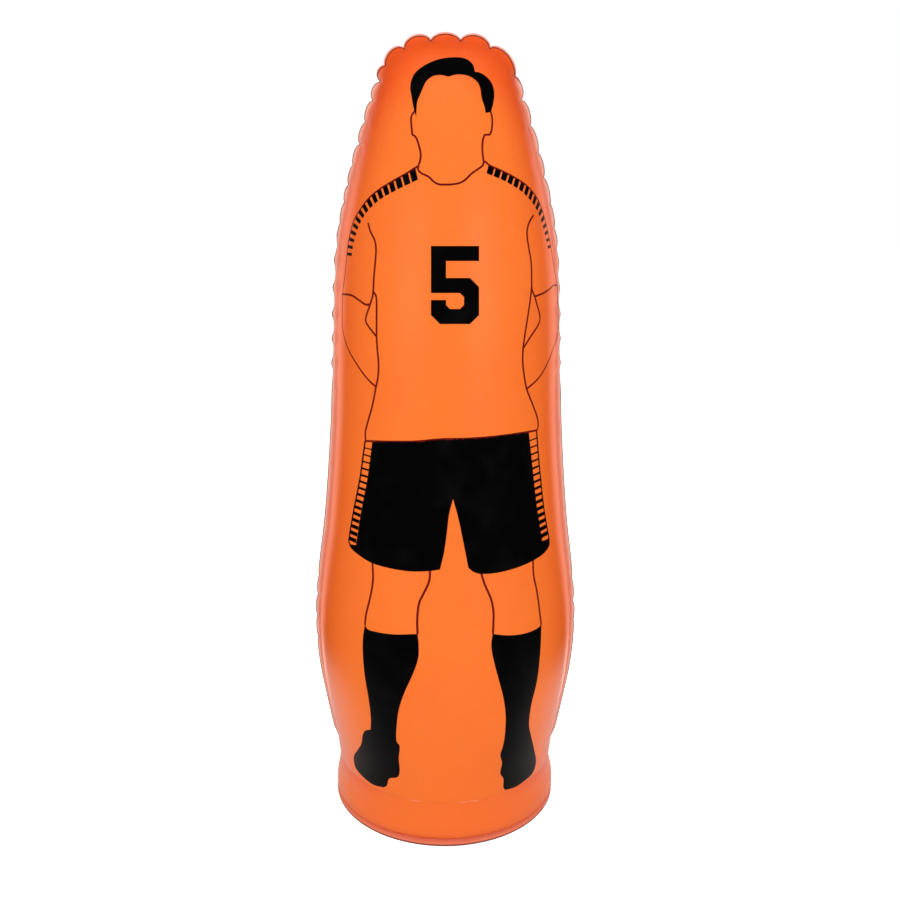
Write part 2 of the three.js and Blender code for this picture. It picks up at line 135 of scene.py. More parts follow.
def blend_value(tree, share, first, second):
    return add_node(tree, "ShaderNodeMix", {0: share, 2: first, 3: second}, data_type="FLOAT").outputs[0]


def blend_colour(tree, share, first, second):
    return add_node(tree, "ShaderNodeMix", {0: share, 6: first, 7: second}, data_type="RGBA").outputs[2]


def rise_node(tree, value, low, high):
    """0 below low, 1 above high and a smooth rise between them."""
    edges = {0: value, 1: low, 2: high}
    return add_node(tree, "ShaderNodeMapRange", edges, interpolation_type="SMOOTHSTEP").outputs[0]


def fall_node(tree, value, low, high):
    return math_node(tree, "SUBTRACT", 1.0, rise_node(tree, value, low, high))


def object_place(tree):
    return add_node(tree, "ShaderNodeTexCoord").outputs["Object"]


floor_mesh = bpy.data.meshes.new("floor")
floor_corners = [(x * floor_half, y * floor_half, -floor_drop) for x in (-1, 1) for y in (-1, 1)]
floor_mesh.from_pydata(floor_corners, [], [(0, 2, 3, 1)])
floor = add_object("floor", floor_mesh)

floor_paint = bpy.data.materials.new("floor_white")
tree = blank_tree(floor_paint)
path = add_node(tree, "ShaderNodeLightPath").outputs
spot = object_place(tree)
back = add_node(tree, "ShaderNodeSeparateXYZ", {0: spot}).outputs["Y"]
reach = add_node(tree, "ShaderNodeVectorMath", {0: spot}, operation="LENGTH").outputs["Value"]
mirrored = blend_value(tree, rise_node(tree, back, *front_edges), front_mirrored, 1.0)
mirrored = product(tree, fall_node(tree, reach, *near_edges), mirrored)
dim = blend_colour(tree, mirrored, black, floor_grey)
behind = rise_node(tree, math_node(tree, "DIVIDE", back, reach), *backdrop_edges)
card = product(tree, behind, card_level, path["Is Glossy Ray"])
seen = math_node(tree, "MAXIMUM", path["Is Camera Ray"], path["Is Transmission Ray"])
matt = add_node(tree, "ShaderNodeBsdfDiffuse", {
    "Color": blend_colour(tree, path["Is Glossy Ray"], floor_grey, dim),
})
glow = add_node(tree, "ShaderNodeEmission", {
    "Color": blend_colour(tree, path["Is Glossy Ray"], white, card_colour),
    "Strength": math_node(tree, "MAXIMUM", product(tree, seen, floor_lift), card),
})
both = add_node(tree, "ShaderNodeAddShader", {0: matt.outputs[0], 1: glow.outputs[0]})
add_node(tree, "ShaderNodeOutputMaterial", {"Surface": both.outputs[0]})
floor_mesh.materials.append(floor_paint)

world = bpy.data.worlds.new("studio")
bpy.context.scene.world = world
tree = blank_tree(world)
path = add_node(tree, "ShaderNodeLightPath").outputs
direction = add_node(tree, "ShaderNodeTexCoord").outputs["Generated"]
_, away, up = add_node(tree, "ShaderNodeSeparateXYZ", {0: direction}).outputs
backdrop = product(tree, rise_node(tree, away, *backdrop_edges), fall_node(tree, up, *backdrop_tops))
level = blend_value(tree, backdrop, room_glow, card_level)
level = blend_value(tree, path["Is Glossy Ray"], ambient_light, level)
seen = math_node(tree, "MAXIMUM", path["Is Camera Ray"], path["Is Transmission Ray"])
surround = add_node(tree, "ShaderNodeBackground", {
    "Color": blend_colour(tree, product(tree, path["Is Glossy Ray"], backdrop), white, card_colour),
    "Strength": blend_value(tree, seen, level, 1.0),
})
add_node(tree, "ShaderNodeOutputWorld", {"Surface": surround.outputs[0]})

for name, (place, width, power) in lamps.items():
    lamp = add_object(name, bpy.data.lights.new(name, "AREA"))
    lamp.data.shape = "SQUARE"
    lamp.data.size = width
    lamp.data.energy = power
    lamp.location = place
    lamp.rotation_euler = (lamp_target - Vector(place)).to_track_quat("-Z", "Y").to_euler()
    lamp.visible_glossy = False

# Film of the figure. The body is two sheets of 0.5 mm gloss PVC, welded together along one line up
# a side, over the crown and down the other side. Blown up, the weld draws into scalloped lobes.
film_thickness = 0.0005
film_gap = 0.0003
film_set = film_gap / 2 + film_thickness
flange_width = 0.007
flange_least = 0.001
hem_width = 0.014
crown_height = 1.743
max_half_width = 0.295
max_half_depth = 0.288
crease_height = 0.111
crease_radius = 0.254
fan_height = 1.66
fan_length = 0.4
seam_steps = 60
weld_step = 0.002
turn_step = 0.01

# Shares of the height, each with the share of the greatest half width or half depth there
outline_shares = [
    (1.0, 0), (0.999, 0.17), (0.9905, 0.304), (0.972, 0.411), (0.943, 0.486), (0.903, 0.56),
    (0.851, 0.645), (0.796, 0.72), (0.741, 0.775), (0.686, 0.8), (0.612, 0.818),
    (0.526, 0.835), (0.441, 0.868), (0.361, 0.91), (0.287, 0.965), (0.232, 0.996),
    (0.189, 1.0), (0.134, 0.98), (0.073, 0.926), (0.024, 0.878),
]
depth_shares = [
    (0.024, 0.897), (0.073, 0.945), (0.134, 0.985), (0.189, 1.0), (0.232, 0.9965),
    (0.287, 0.962), (0.361, 0.9), (0.441, 0.851), (0.526, 0.816), (0.612, 0.792),
    (0.686, 0.762), (0.741, 0.726), (0.796, 0.67), (0.851, 0.59), (0.903, 0.487),
    (0.949, 0.372), (0.98, 0.262),
]

# Lobes from the crown down each side, as shares of a lobe's length, and the few at the shins
lobe_length = 0.06
lobe_roundness = 0.62
crown_notch = 0.013
shin_notch = 0.003
full_notch = 0.002
right_shin_start = 1.252
left_shin_start = 1.256
right_lobe_shares = [
    0.43, 1.05, 1.3, 0.8, 0.92, 0.95, 0.88, 0.95, 0.87, 0.75, 0.9, 0.95, 0.95, 0.87, 0.95,
]
left_lobe_shares = [
    0.58, 0.97, 0.87, 0.55, 0.67, 0.77, 0.77, 0.75, 0.7, 0.62, 0.72, 0.82, 1.02, 0.98, 0.97, 0.85, 0.98,
]
right_shin_shares = [0.85, 0.95, 0.83, 0.8]
left_shin_shares = [0.73, 0.78, 0.95, 0.9, 0.8]
notch_fade = 2.0
depth_wander = 0.25
wander_turn = 2.4
lean_share = 0.3
pucker_reach = 0.045
wrinkle_reach = 2 * pucker_reach

# Stations and rows of the mesh near the weld and away from it, and how the blown film lies there
half_stations = 350
crease_stations = (0.0, 0.0012, 0.0028, 0.005, 0.008, 0.0125)
flange_rows = (0.0046, 0.0037, 0.0027, 0.0014, 0.0)
near_rows = (0.001, 0.0022, 0.004, 0.0065, 0.01, 0.0145, 0.02, 0.027, 0.036, 0.048, 0.062)
far_rows = 26
far_turn = 0.24
front_flange_trim = 0.45
back_flange_growth = 0.25
flare = 0.0052
crown_flare = 0.0028
flare_reach = 0.02
flare_at_notches = 0.8
slack = 0.0095
slack_reach = 0.034
crown_reach = (0.15, 0.185)
tuck_span = (0.47, 0.6, 0.8, 0.85)
tuck_narrowest = 0.3
tuck_peaks = (1.25, 0.85)
tip_sharpness = 5
ripple_height = 0.0004
ripple_scale = 7.0
ripple_start = 0.04
wrinkle_height = 0.0011
wrinkle_scale = 34.0
wrinkle_squash = 0.4
wrinkle_fade = 1.6
crease_roll = 0.0018
crease_roll_reach = 0.011
crease_roll_top = 0.12
roll_at_front = 0.12
roll_bend = 1.5

# How pale each row of the weld is, as painted sheen; which rows show the cut edge, as a dark line of
# painted shade; and the film's colours, with a deep colour of painted shade
# Painted sheen: the welds and the film just beside them are painted pale for light that the film mirrors
# and lets through there, and painted shade dims this at the notches.
weld_sheen_fade = (0.85, 0.66, 0.56, 0.48, 0.4, 0.31, 0.22, 0.14, 0.07, 0.02)
notch_shade = 0.35
crown_flange_sheen = 0.6
# Painted shade: the rows at the cut edge carry a dark brown line.
shaded_edge_rows = 2
crown_shaded_edge_rows = 4
# Painted shade: between these heights the film is painted deeper over the crown, by this share.
crown_shade = (1.56, 1.72, 0.55)
film_orange = (0.95, 0.178, 0.019, 1)
# The deep colour is painted shade towards the sides and over the crown, and also the random tint.
film_shade_deep = (0.87, 0.085, 0.006, 1)
flange_sheen_pale = (0.98, 0.56, 0.44, 1)
edge_shade_brown = (0.2, 0.03, 0.014, 1)


def curve_between(start, end, leave, arrive, t):
    """A smooth run from start to end, at shares t of the way, with given steps at both ends."""
    bend = (3 * (end - start) - 2 * leave - arrive) * t ** 2
    return start + leave * t + bend + (2 * (start - end) + leave + arrive) * t ** 3


def smooth_line(points, steps):
    """Dense points on a line that runs evenly rounded through the given ones."""
    points = np.asarray(points, float)
    points = np.vstack([2 * points[0] - points[1], points, 2 * points[-1] - points[-2]])
    share = np.linspace(0, 1, steps, endpoint=False)[:, None]
    parts = []
    for a, b, c, d in zip(points, points[1:], points[2:], points[3:]):
        before, between, after = (np.linalg.norm(q - p) ** 0.5 for p, q in ((a, b), (b, c), (c, d)))
        leave = ((b - a) / before - (c - a) / (before + between) + (c - b) / between) * between
        arrive = ((c - b) / between - (d - b) / (between + after) + (d - c) / after) * between
        parts.append(curve_between(b, c, leave, arrive, share))
    return np.vstack([*parts, points[-2]])


def rise(value, low, high):
    """0 at low, 1 at high and even between them. With high below low it falls."""
    return np.clip((value - low) / (high - low), 0, 1)


def unit(vectors):
    return vectors / np.linalg.norm(vectors, axis=-1, keepdims=True)


panel_foot = crease_height + film_thickness / 2 + film_gap


def height_at(share):
    return panel_foot + (crown_height - panel_foot) * share


right_outline = [(max_half_width * width, height_at(height)) for height, width in outline_shares]
right_outline.append((crease_radius, panel_foot))
left_outline = [(-x, z) for x, z in right_outline[:0:-1]]
seam_line = smooth_line(left_outline + right_outline, seam_steps)
seam_run = np.concatenate([[0], np.cumsum(np.linalg.norm(np.diff(seam_line, axis=0), axis=1))])
side_length = seam_run[-1] / 2
seam_run -= side_length

depth_knots = np.array([panel_foot] + [height_at(height) for height, depth in depth_shares])
depth_values = np.array([crease_radius] + [max_half_depth * depth for height, depth in depth_shares])
depth_steps = np.diff(depth_values) / np.diff(depth_knots)
depth_slopes = np.concatenate([depth_steps[:1], (depth_steps[1:] + depth_steps[:-1]) / 2, depth_steps[-1:]])


def depth_at(height):
    """Half the figure's depth on its middle line at a height."""
    low = np.clip(np.searchsorted(depth_knots, height) - 1, 0, len(depth_knots) - 2)
    width = depth_knots[low + 1] - depth_knots[low]
    ends = depth_values[low], depth_values[low + 1]
    steps = depth_slopes[low] * width, depth_slopes[low + 1] * width
    return curve_between(*ends, *steps, np.clip((height - depth_knots[low]) / width, 0, 1))


def seam_at(s):
    """Sideways place and height of the weld line, s metres along it from the crown."""
    return np.interp(s, seam_run, seam_line[:, 0]), np.interp(s, seam_run, seam_line[:, 1])


def beside(s):
    """Places a short step ahead of s and behind it."""
    return [np.clip(s + step, -side_length, side_length) for step in (weld_step, -weld_step)]


def seam_outward(s):
    ahead, behind = (np.stack(seam_at(place), -1) for place in beside(s))
    tangent = unit(ahead - behind)
    return np.stack([-tangent[..., 1], np.zeros(len(s)), tangent[..., 0]], -1)


def middle_height(s):
    """Where on the middle line a strip of film ends: it fans out over the crown, then runs level."""
    share = np.abs(s) / fan_length
    fan_foot = seam_at(np.array([fan_length]))[1][0]
    return np.where(share < 1, fan_height + (fan_foot - fan_height) * share ** 2, seam_at(s)[1])


def smooth_film(s, angle, side):
    """The even film: angle 0 is the weld line and a quarter turn is the middle line."""
    seam_x, seam_z = seam_at(s)
    middle = middle_height(s)
    raise_by = seam_z - middle
    step = film_thickness
    slope = (depth_at(middle - step) - depth_at(middle + step)) / (2 * step)
    skew = raise_by * slope
    across = depth_at(middle) - skew
    return np.stack([
        seam_x * np.cos(angle),
        side * (skew * (1 - np.cos(angle)) + across * np.sin(angle)),
        middle + raise_by * np.cos(angle),
    ], -1)


def across_at(s):
    quarter = np.full(len(s), math.pi / 2)
    return np.abs(smooth_film(s, quarter, 1)[:, 1])


def film_outward(s, angle, side):
    inward = smooth_film(s, angle + turn_step, side) - smooth_film(s, angle - turn_step, side)
    ahead, behind = (smooth_film(place, angle, side) for place in beside(s))
    return unit(np.cross(inward, ahead - behind) * -side)


def notches_along(start, shares, depth_of):
    """Notches between lobes, as (place on the weld line, depth, lean)."""
    passed = np.cumsum(shares)
    made = []
    for i, share in enumerate(passed):
        wander = 1 + depth_wander * math.sin(wander_turn * i)
        depth = depth_of(min(share / passed[-1], 1)) * wander
        made.append((start + share * lobe_length, depth, 1 if i % 2 == 0 else -1))
    return made


def notches_of(shares, shin_start, shin_shares):
    upper = notches_along(0, shares, lambda share: crown_notch * (1 - share) ** notch_fade)
    shin = notches_along(shin_start, shin_shares, lambda share: shin_notch * math.sin(math.pi * share))
    return [*upper, (shin_start, 0, 1), *shin]


right_notches = notches_of(right_lobe_shares, right_shin_start, right_shin_shares)
left_notches = notches_of(left_lobe_shares, left_shin_start, left_shin_shares)
left_notches = [(-place, depth, lean) for place, depth, lean in reversed(left_notches)]
notch_place, notch_depth, notch_lean = np.array(left_notches + right_notches).T


def lobe_at(s):
    """The notch after each place on the weld line, and how far through its lobe the place lies."""
    after = np.clip(np.searchsorted(notch_place, s), 1, len(notch_place) - 1)
    return after, rise(s, notch_place[after - 1], notch_place[after])


def sag_at(s):
    """1 at a notch between two lobes, and near 0 on a lobe."""
    return 1 - np.sin(math.pi * lobe_at(s)[1]) ** lobe_roundness


def pucker_at(s):
    """How far the weld is drawn in at s, and how far it leans to one side."""
    after, share = lobe_at(s)

    def between(values):
        return values[after - 1] + (values[after] - values[after - 1]) * share

    return sag_at(s) * between(notch_depth), sag_at(s) * between(notch_depth * notch_lean)


def notch_share(s):
    """As sag_at, but near 0 where the notches are shallow too."""
    return sag_at(s) * np.clip(pucker_at(s)[0] / full_notch, 0, 1)


def crown_share(s):
    """1 over the crown, falling to 0 down the sides."""
    return rise(np.abs(s), *crown_reach[::-1])


def tuck_at(s):
    """Share of the flange's width that still shows: low at the waist, the lobes tuck in behind the
    body and only their tips peek out."""
    start, full, fading, end = tuck_span
    tucked = rise(np.abs(s), start, full) * rise(np.abs(s), end, fading)
    tip = np.sin(math.pi * lobe_at(s)[1]) ** tip_sharpness
    peak = np.where(s < 0, *tuck_peaks)
    return 1 + tucked * (tuck_narrowest + (peak - tuck_narrowest) * tip - 1)


def weld_stretch(s):
    """1 along most of the weld, falling to 0 at the crease."""
    return np.clip((side_length - np.abs(s)) / pucker_reach, 0, 1)


def spread_at(s, distance):
    """How far the film stands out from its even section: the weld is drawn out, and the film beside it
    lies flatter than round."""
    out = (flare + crown_flare * crown_share(s)) * np.exp(-distance / flare_reach)
    sunk = slack * distance / slack_reach * np.exp(-distance / slack_reach)
    return (out - sunk) * weld_stretch(s)


# Stations snap to the notches close to the weld, and run evenly further in but for a few more at
# the crease, where the film rolls in over a short way
crease_steps = np.array(crease_stations)
even_reach = side_length - crease_steps[-1]
even_stations = np.concatenate([
    crease_steps - side_length,
    np.linspace(-even_reach, even_reach, 2 * half_stations + 1)[1:-1],
    side_length - crease_steps[::-1],
])
station_index = np.arange(len(even_stations))
anchors = np.rint(np.interp(notch_place, even_stations, station_index))
anchor_index = np.concatenate([[0], anchors, station_index[-1:]])
anchor_place = np.concatenate([[-side_length], notch_place, [side_length]])
snapped_stations = np.interp(station_index, anchor_index, anchor_place)


def unevenness(points, distance):
    """Slack of the blown film: wide soft waves all over, short wrinkles near the weld, and the roll
    in to the crease."""
    near = math.exp(-distance / pucker_reach * wrinkle_fade) if distance < wrinkle_reach else 0
    offsets = []
    for place in (Vector(point) for point in points):
        wave = noise.noise(place * ripple_scale) * ripple_height
        squashed = Vector((place.x, place.y * wrinkle_squash, place.z))
        wrinkle = noise.noise(squashed * wrinkle_scale) * wrinkle_height * near
        above = place.z - panel_foot
        roll = crease_roll * (1 - math.exp(-above / crease_roll_reach)) * math.exp(-above / crease_roll_top)
        roll *= roll_at_front + (1 - roll_at_front) * min(abs(place.x) / crease_radius, 1) ** roll_bend
        offsets.append((wave + wrinkle) * min(above / ripple_start, 1) + roll)
    return np.array(offsets)[:, None]


def film_row(distance, side):
    """One row of film points at a distance from the weld line, and the film's outward direction."""
    fade = max(1 - distance / near_rows[-1], 0)
    s = even_stations + (snapped_stations - even_stations) * fade
    angle = distance / across_at(s)
    points = smooth_film(s, angle, side)
    inset, lean = pucker_at(s)
    reach = max(1 - distance / pucker_reach, 0) ** 2
    outward = film_outward(s, angle, side) if distance > 0 else seam_outward(s)
    points -= outward * (inset * reach)[:, None]
    spread = spread_at(s, distance) * (1 - (1 - flare_at_notches) * notch_share(s))
    points += seam_outward(s) * spread[:, None]
    points[:, 1] += lean * lean_share * reach + side * film_set
    return points, outward


def film_rows(side):
    """Rows of points from the flange's edge to the middle line, with each row's share of turn."""
    weld, outward = film_row(0.0, side)
    trim = 1 + (back_flange_growth if side > 0 else -front_flange_trim) * crown_share(snapped_stations)
    trim *= tuck_at(snapped_stations)
    taper = np.maximum(weld_stretch(snapped_stations) * trim, flange_least / flange_width)
    rows = [weld + outward * (width * taper)[:, None] for width in flange_rows]
    turns = [0.0] * len(flange_rows)
    for distance in near_rows:
        points, outward = film_row(distance, side)
        rows.append(points + outward * unevenness(points, distance))
        turns.append(distance / crease_radius)
    across = across_at(even_stations)
    start = near_rows[-1] / across
    for k in range(1, far_rows + 1):
        angle = start + (math.pi / 2 - start) * k / far_rows
        points = smooth_film(even_stations, angle, side)
        points[:, 1] += side * film_set
        away = angle * across
        spread = spread_at(even_stations, away) * np.cos(angle)
        points += seam_outward(even_stations) * spread[:, None]
        outward = film_outward(even_stations, angle, side)
        rows.append(points + outward * unevenness(points, wrinkle_reach))
        turns.append(far_turn + (1 - far_turn) * k / far_rows)
    return rows, turns


def trimmed(faces):
    """The points that the faces use, and the faces without doubled corners, numbered over these."""
    faces = [list(dict.fromkeys(face)) for face in faces]
    faces = [face for face in faces if len(face) > 2]
    used = sorted({i for face in faces for i in face})
    renumber = {old: new for new, old in enumerate(used)}
    return used, [[renumber[i] for i in face] for face in faces]


def film_sheet(side):
    """Points, faces and the turn, flange and edge shade masks of one panel, with its hem at the crease:
    painted shade, painted sheen and a painted dark edge.
    """
    rows, turns = film_rows(side)
    columns = len(even_stations) + 2
    hem_share = 1 - hem_width / crease_radius
    points = []
    for row in rows:
        hems = [row[end] * (hem_share, hem_share, 1) for end in (0, -1)]
        points.append(np.vstack([hems[0], row, hems[1]]))
    points = np.vstack(points)

    def with_hems(values):
        return np.concatenate([values[:1], values, values[-1:]])

    crown = with_hems(crown_share(snapped_stations))
    pale = (1 - crown) * (1 - notch_shade * with_hems(notch_share(snapped_stations)))
    weld_row = len(flange_rows) - 1
    fades = [weld_sheen_fade[0]] * weld_row + [*weld_sheen_fade] + [0.0] * len(rows)
    shade_turn_mask, flange_sheen_mask, edge_shade_mask = [], [], []
    for k, (turn, fade) in enumerate(zip(turns, fades)):
        # Painted sheen: over the crown only the back's flange is painted pale.
        bare = crown_flange_sheen * crown * (side > 0 and k < weld_row)
        shade_turn_mask.append(np.full(columns, turn))
        flange_sheen_mask.append(np.maximum(pale * fade, bare))
        edge_shade_mask.append((1 - crown) * (k < shaded_edge_rows) + (side < 0) * crown * (k < crown_shaded_edge_rows))
    # The turn mask carries painted shade: it is low near the weld and over the crown, where the colour goes
    # deep.
    low, high, share = crown_shade
    up = rise(points[:, 2], low, high)
    masks = {
        "turn": np.concatenate(shade_turn_mask) * (1 - share * up ** 2 * (3 - 2 * up)),
        "flange": np.concatenate(flange_sheen_mask), "cut_edge": np.concatenate(edge_shade_mask),
    }

    last = len(rows) - 1

    def corner(k, j):
        """Both halves of the sheet share the points of its middle line."""
        return last * columns + min(j, columns - 1 - j) if k == last else k * columns + j

    faces = []
    for k in range(last):
        hem = int(k < weld_row)
        for j in range(hem, columns - 1 - hem):
            face = [corner(k, j), corner(k, j + 1), corner(k + 1, j + 1), corner(k + 1, j)]
            faces.append(face if side > 0 else face[::-1])
    used, faces = trimmed(faces)
    return points[used], faces, {name: mask[used] for name, mask in masks.items()}


def add_piece(name, points, faces, finish):
    """A smooth shaded mesh object."""
    mesh = bpy.data.meshes.new(name)
    mesh.from_pydata(np.asarray(points).tolist(), [], faces)
    mesh.shade_smooth()
    mesh.materials.append(finish)
    return add_object(name, mesh)


def settle(piece):
    """Applies the piece's modifiers to its mesh."""
    graph = bpy.context.evaluated_depsgraph_get()
    solved = bpy.data.meshes.new_from_object(piece.evaluated_get(graph))
    piece.modifiers.clear()
    piece.data = solved


def mark(piece, masks):
    for name, values in masks.items():
        layer = piece.data.attributes.new(name, "FLOAT", "POINT")
        layer.data.foreach_set("value", values.astype(np.float32))


# Finish of the film. The body, the foot and the valves' flanges are of the same glossy PVC. It is painted
# deeper in colour towards the sides, as painted shade, paler on the welds, as painted sheen, and has a fine
# orange peel.
film_clouds = ((5.0, 2.0), (85.0, 3.0), (420.0, 2.0))
shade_turn_edges = (0.02, 0.62)
tint_edges = (0.35, 0.75)
tint_share = 0.12
speck_edges = (0.5, 0.8)
speck_share = 0.02
rough_spread = 0.08
rough_on_flange = 0.12
peel_share = 0.25
film_gloss = 0.2
film_relief = 0.00002
film_ior = 1.52
ring_relief = 0.0012
air_valve_height = 0.452
weld_ring_edges = ((0.0205, 0.022), (0.0275, 0.0295))


def node_group(name, inputs, outputs):
    """An empty shader group with named sockets, and its inputs."""
    group = bpy.data.node_groups.new(name, "ShaderNodeTree")
    for in_out, sockets in (("INPUT", inputs), ("OUTPUT", outputs)):
        for socket, kind in sockets.items():
            group.interface.new_socket(socket, in_out=in_out, socket_type="NodeSocket" + kind)
    return group, add_node(group, "NodeGroupInput").outputs


def clouds_at(tree, spot, scale, detail):
    grain = {"Vector": spot, "Scale": scale, "Detail": detail}
    return add_node(tree, "ShaderNodeTexNoise", grain).outputs[0]


pvc_film, given = node_group(
    "pvc_film",
    {"Colour": "Color", "Deep colour": "Color", "Weld colour": "Color", "Edge colour": "Color",
     "Turn": "Float", "Flange": "Float", "Cut edge": "Float", "Gloss": "Float"},
    {"Colour": "Color", "Roughness": "Float", "Height": "Float"},
)
spot = object_place(pvc_film)
wide, fine, peel = (clouds_at(pvc_film, spot, *clouds) for clouds in film_clouds)
tint = product(pvc_film, rise_node(pvc_film, wide, *tint_edges), tint_share)
speck = product(pvc_film, rise_node(pvc_film, fine, *speck_edges), speck_share)
colour = given["Deep colour"]
# Painted shade: the colour goes from deep near the weld to plain further in. The tint and the specks are
# random tone.
for share, change in (
    (rise_node(pvc_film, given["Turn"], *shade_turn_edges), given["Colour"]), (tint, given["Deep colour"]),
    # The random specks and the painted sheen of the flange mask mix in the same pale colour.
    (speck, given["Weld colour"]), (given["Flange"], given["Weld colour"]),
    (given["Cut edge"], given["Edge colour"]),
):
    colour = blend_colour(pvc_film, share, colour, change)
rough = math_node(pvc_film, "ADD", given["Gloss"], product(pvc_film, wide, rough_spread))
rough = math_node(pvc_film, "ADD", rough, product(pvc_film, given["Flange"], rough_on_flange))
height = math_node(pvc_film, "ADD", product(pvc_film, peel, peel_share), fine)
add_node(pvc_film, "NodeGroupOutput", {"Colour": colour, "Roughness": rough, "Height": height})


def weld_ring(tree, height):
    """An embossed ring where a valve's flange is welded inside the film, on the back only."""
    x, y, z = add_node(tree, "ShaderNodeSeparateXYZ", {0: object_place(tree)}).outputs
    z = math_node(tree, "SUBTRACT", z, height)
    squared = math_node(tree, "ADD", product(tree, x, x), product(tree, z, z))
    reach = math_node(tree, "SQRT", squared)
    inner, outer = weld_ring_edges
    raised = product(tree, fall_node(tree, reach, *outer), rise_node(tree, reach, *inner))
    return product(tree, raised, math_node(tree, "GREATER_THAN", y, 0.0))


def bumped(tree, height, distance, normal=None):
    """The surface's normal with a relief in it, on top of another one if there is one."""
    sockets = {"Height": height, "Distance": distance}
    if normal:
        sockets["Normal"] = normal
    return add_node(tree, "ShaderNodeBump", sockets).outputs[0]


def shaded(tree, surface, normal, ior):
    """Ends a material in a shader with the colour and roughness of a group."""
    shader = add_node(tree, "ShaderNodeBsdfPrincipled", {
        "Base Color": surface["Colour"], "Roughness": surface["Roughness"], "Normal": normal, "IOR": ior,
    })
    add_node(tree, "ShaderNodeOutputMaterial", {"Surface": shader.outputs[0]})


def film_material(name, ring_height=None, orange=film_orange, shade_and_tint=film_shade_deep, pale=flange_sheen_pale,
                  gloss=film_gloss):
    """Glossy PVC film; with ring_height, a valve is welded inside it at that height."""
    made = bpy.data.materials.new(name)
    tree = blank_tree(made)
    turn, flange, cut_edge = (
        add_node(tree, "ShaderNodeAttribute", attribute_name=mask).outputs["Fac"]
        for mask in ("turn", "flange", "cut_edge")
    )
    film = add_node(tree, "ShaderNodeGroup", {
        "Colour": orange, "Deep colour": shade_and_tint, "Weld colour": pale, "Edge colour": edge_shade_brown,
        "Turn": turn, "Flange": flange, "Cut edge": cut_edge, "Gloss": gloss,
    }, node_tree=pvc_film).outputs
    normal = bumped(tree, film["Height"], film_relief)
    if ring_height:
        normal = bumped(tree, weld_ring(tree, ring_height), ring_relief, normal)
    shaded(tree, film, normal, film_ior)
    return made


hole_steps = 64
cutter_reach = 0.02
sliver = 0.00001
valve_hole = 0.0158
film_sharp = math.radians(55)


def swept_faces(rings, count):
    """The closed skin over rings of count points that follow each other, with both ends shut."""
    faces = [
        [i * count + k, i * count + (k + 1) % count, (i + 1) * count + (k + 1) % count, (i + 1) * count + k]
        for i in range(rings - 1) for k in range(count)
    ]
    return [*faces, list(range(count))[::-1], list(range((rings - 1) * count, rings * count))]


def cut_hole(piece, face, height, radius):
    """Cuts a round hole through the film at the back, for a valve's neck."""
    turns = [2 * math.pi * k / hole_steps for k in range(hole_steps)]
    rings = [
        (radius * math.cos(turn), y, height + radius * math.sin(turn))
        for y in (face - cutter_reach, face + cutter_reach) for turn in turns
    ]
    cutter = add_piece("hole_cutter", rings, swept_faces(2, hole_steps), piece.data.materials[0])
    hole = piece.modifiers.new("hole", "BOOLEAN")
    hole.object = cutter
    hole.operation = "DIFFERENCE"
    hole.solver = "EXACT"
    settle(piece)
    bpy.data.objects.remove(cutter)
    cleaned = bmesh.new()
    cleaned.from_mesh(piece.data)
    bmesh.ops.dissolve_degenerate(cleaned, dist=sliver, edges=cleaned.edges)
    cleaned.to_mesh(piece.data)
    cleaned.free()


air_face = float(depth_at(np.array([air_valve_height]))[0]) + film_set

sheets = {}
for name, node_name, side, ring_height in (
    ("front_film", "front_panel", -1, None), ("back_film", "back_panel", 1, air_valve_height),
):
    points, faces, masks = film_sheet(side)
    piece = add_piece(name, points, faces, film_material(name + "_gloss", ring_height))
    mark(piece, masks)
    normals = np.array([corner.normal for corner in piece.data.vertices])
    sheets[name] = (points, faces, normals)
    thick = piece.modifiers.new("thickness", "SOLIDIFY")
    thick.thickness = film_thickness
    thick.offset = -1
    if side > 0:
        cut_hole(piece, air_face, air_valve_height, valve_hole)
    else:
        settle(piece)
    piece.data.set_sharp_from_angle(angle=film_sharp)
    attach(piece, "dummy")
    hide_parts(node_name)

# Screen print on the front film: one layer of black gloss ink, thin enough on the lines for some of the
# film's colour to come through. Its outlines are points read off the photograph, in pixels, and are laid on
# the film along the camera's rays.
ink_top = 0.00022
ink_foot = 0.00004
line_width = 0.0043
fill_spacing = 3.0
rounded_steps = 5
fill_tolerance = 1e-5
cloud_detail = 4.0
grain_detail = 2.0
worn_from = 0.45
worn_roughness = 0.12
ink_clouds = {"Cloud scale": 14.0, "Grain scale": 260.0, "Worn to": 0.75}
ink_look = {"clouds": ink_clouds, "gloss": 0.36, "relief": 0.00002, "ior": 1.27}
ink_black = (0.0008, 0.0008, 0.0009, 1)
worn_ink_black = (0.003, 0.0028, 0.0028, 1)
thin_ink_brown = (0.14, 0.001, 0.0003, 1)
worn_thin_ink = (0.18, 0.002, 0.0006, 1)

worn_clouds, given = node_group(
    "worn_clouds",
    {"Colour": "Color", "Worn colour": "Color", "Cloud scale": "Float", "Grain scale": "Float",
     "Worn to": "Float", "Gloss": "Float"},
    {"Colour": "Color", "Roughness": "Float", "Height": "Float"},
)
spot = object_place(worn_clouds)
cloud = clouds_at(worn_clouds, spot, given["Cloud scale"], cloud_detail)
worn = rise_node(worn_clouds, cloud, worn_from, given["Worn to"])
add_node(worn_clouds, "NodeGroupOutput", {
    "Colour": blend_colour(worn_clouds, worn, given["Colour"], given["Worn colour"]),
    "Roughness": math_node(worn_clouds, "ADD", given["Gloss"], product(worn_clouds, cloud, worn_roughness)),
    "Height": clouds_at(worn_clouds, spot, given["Grain scale"], grain_detail),
})


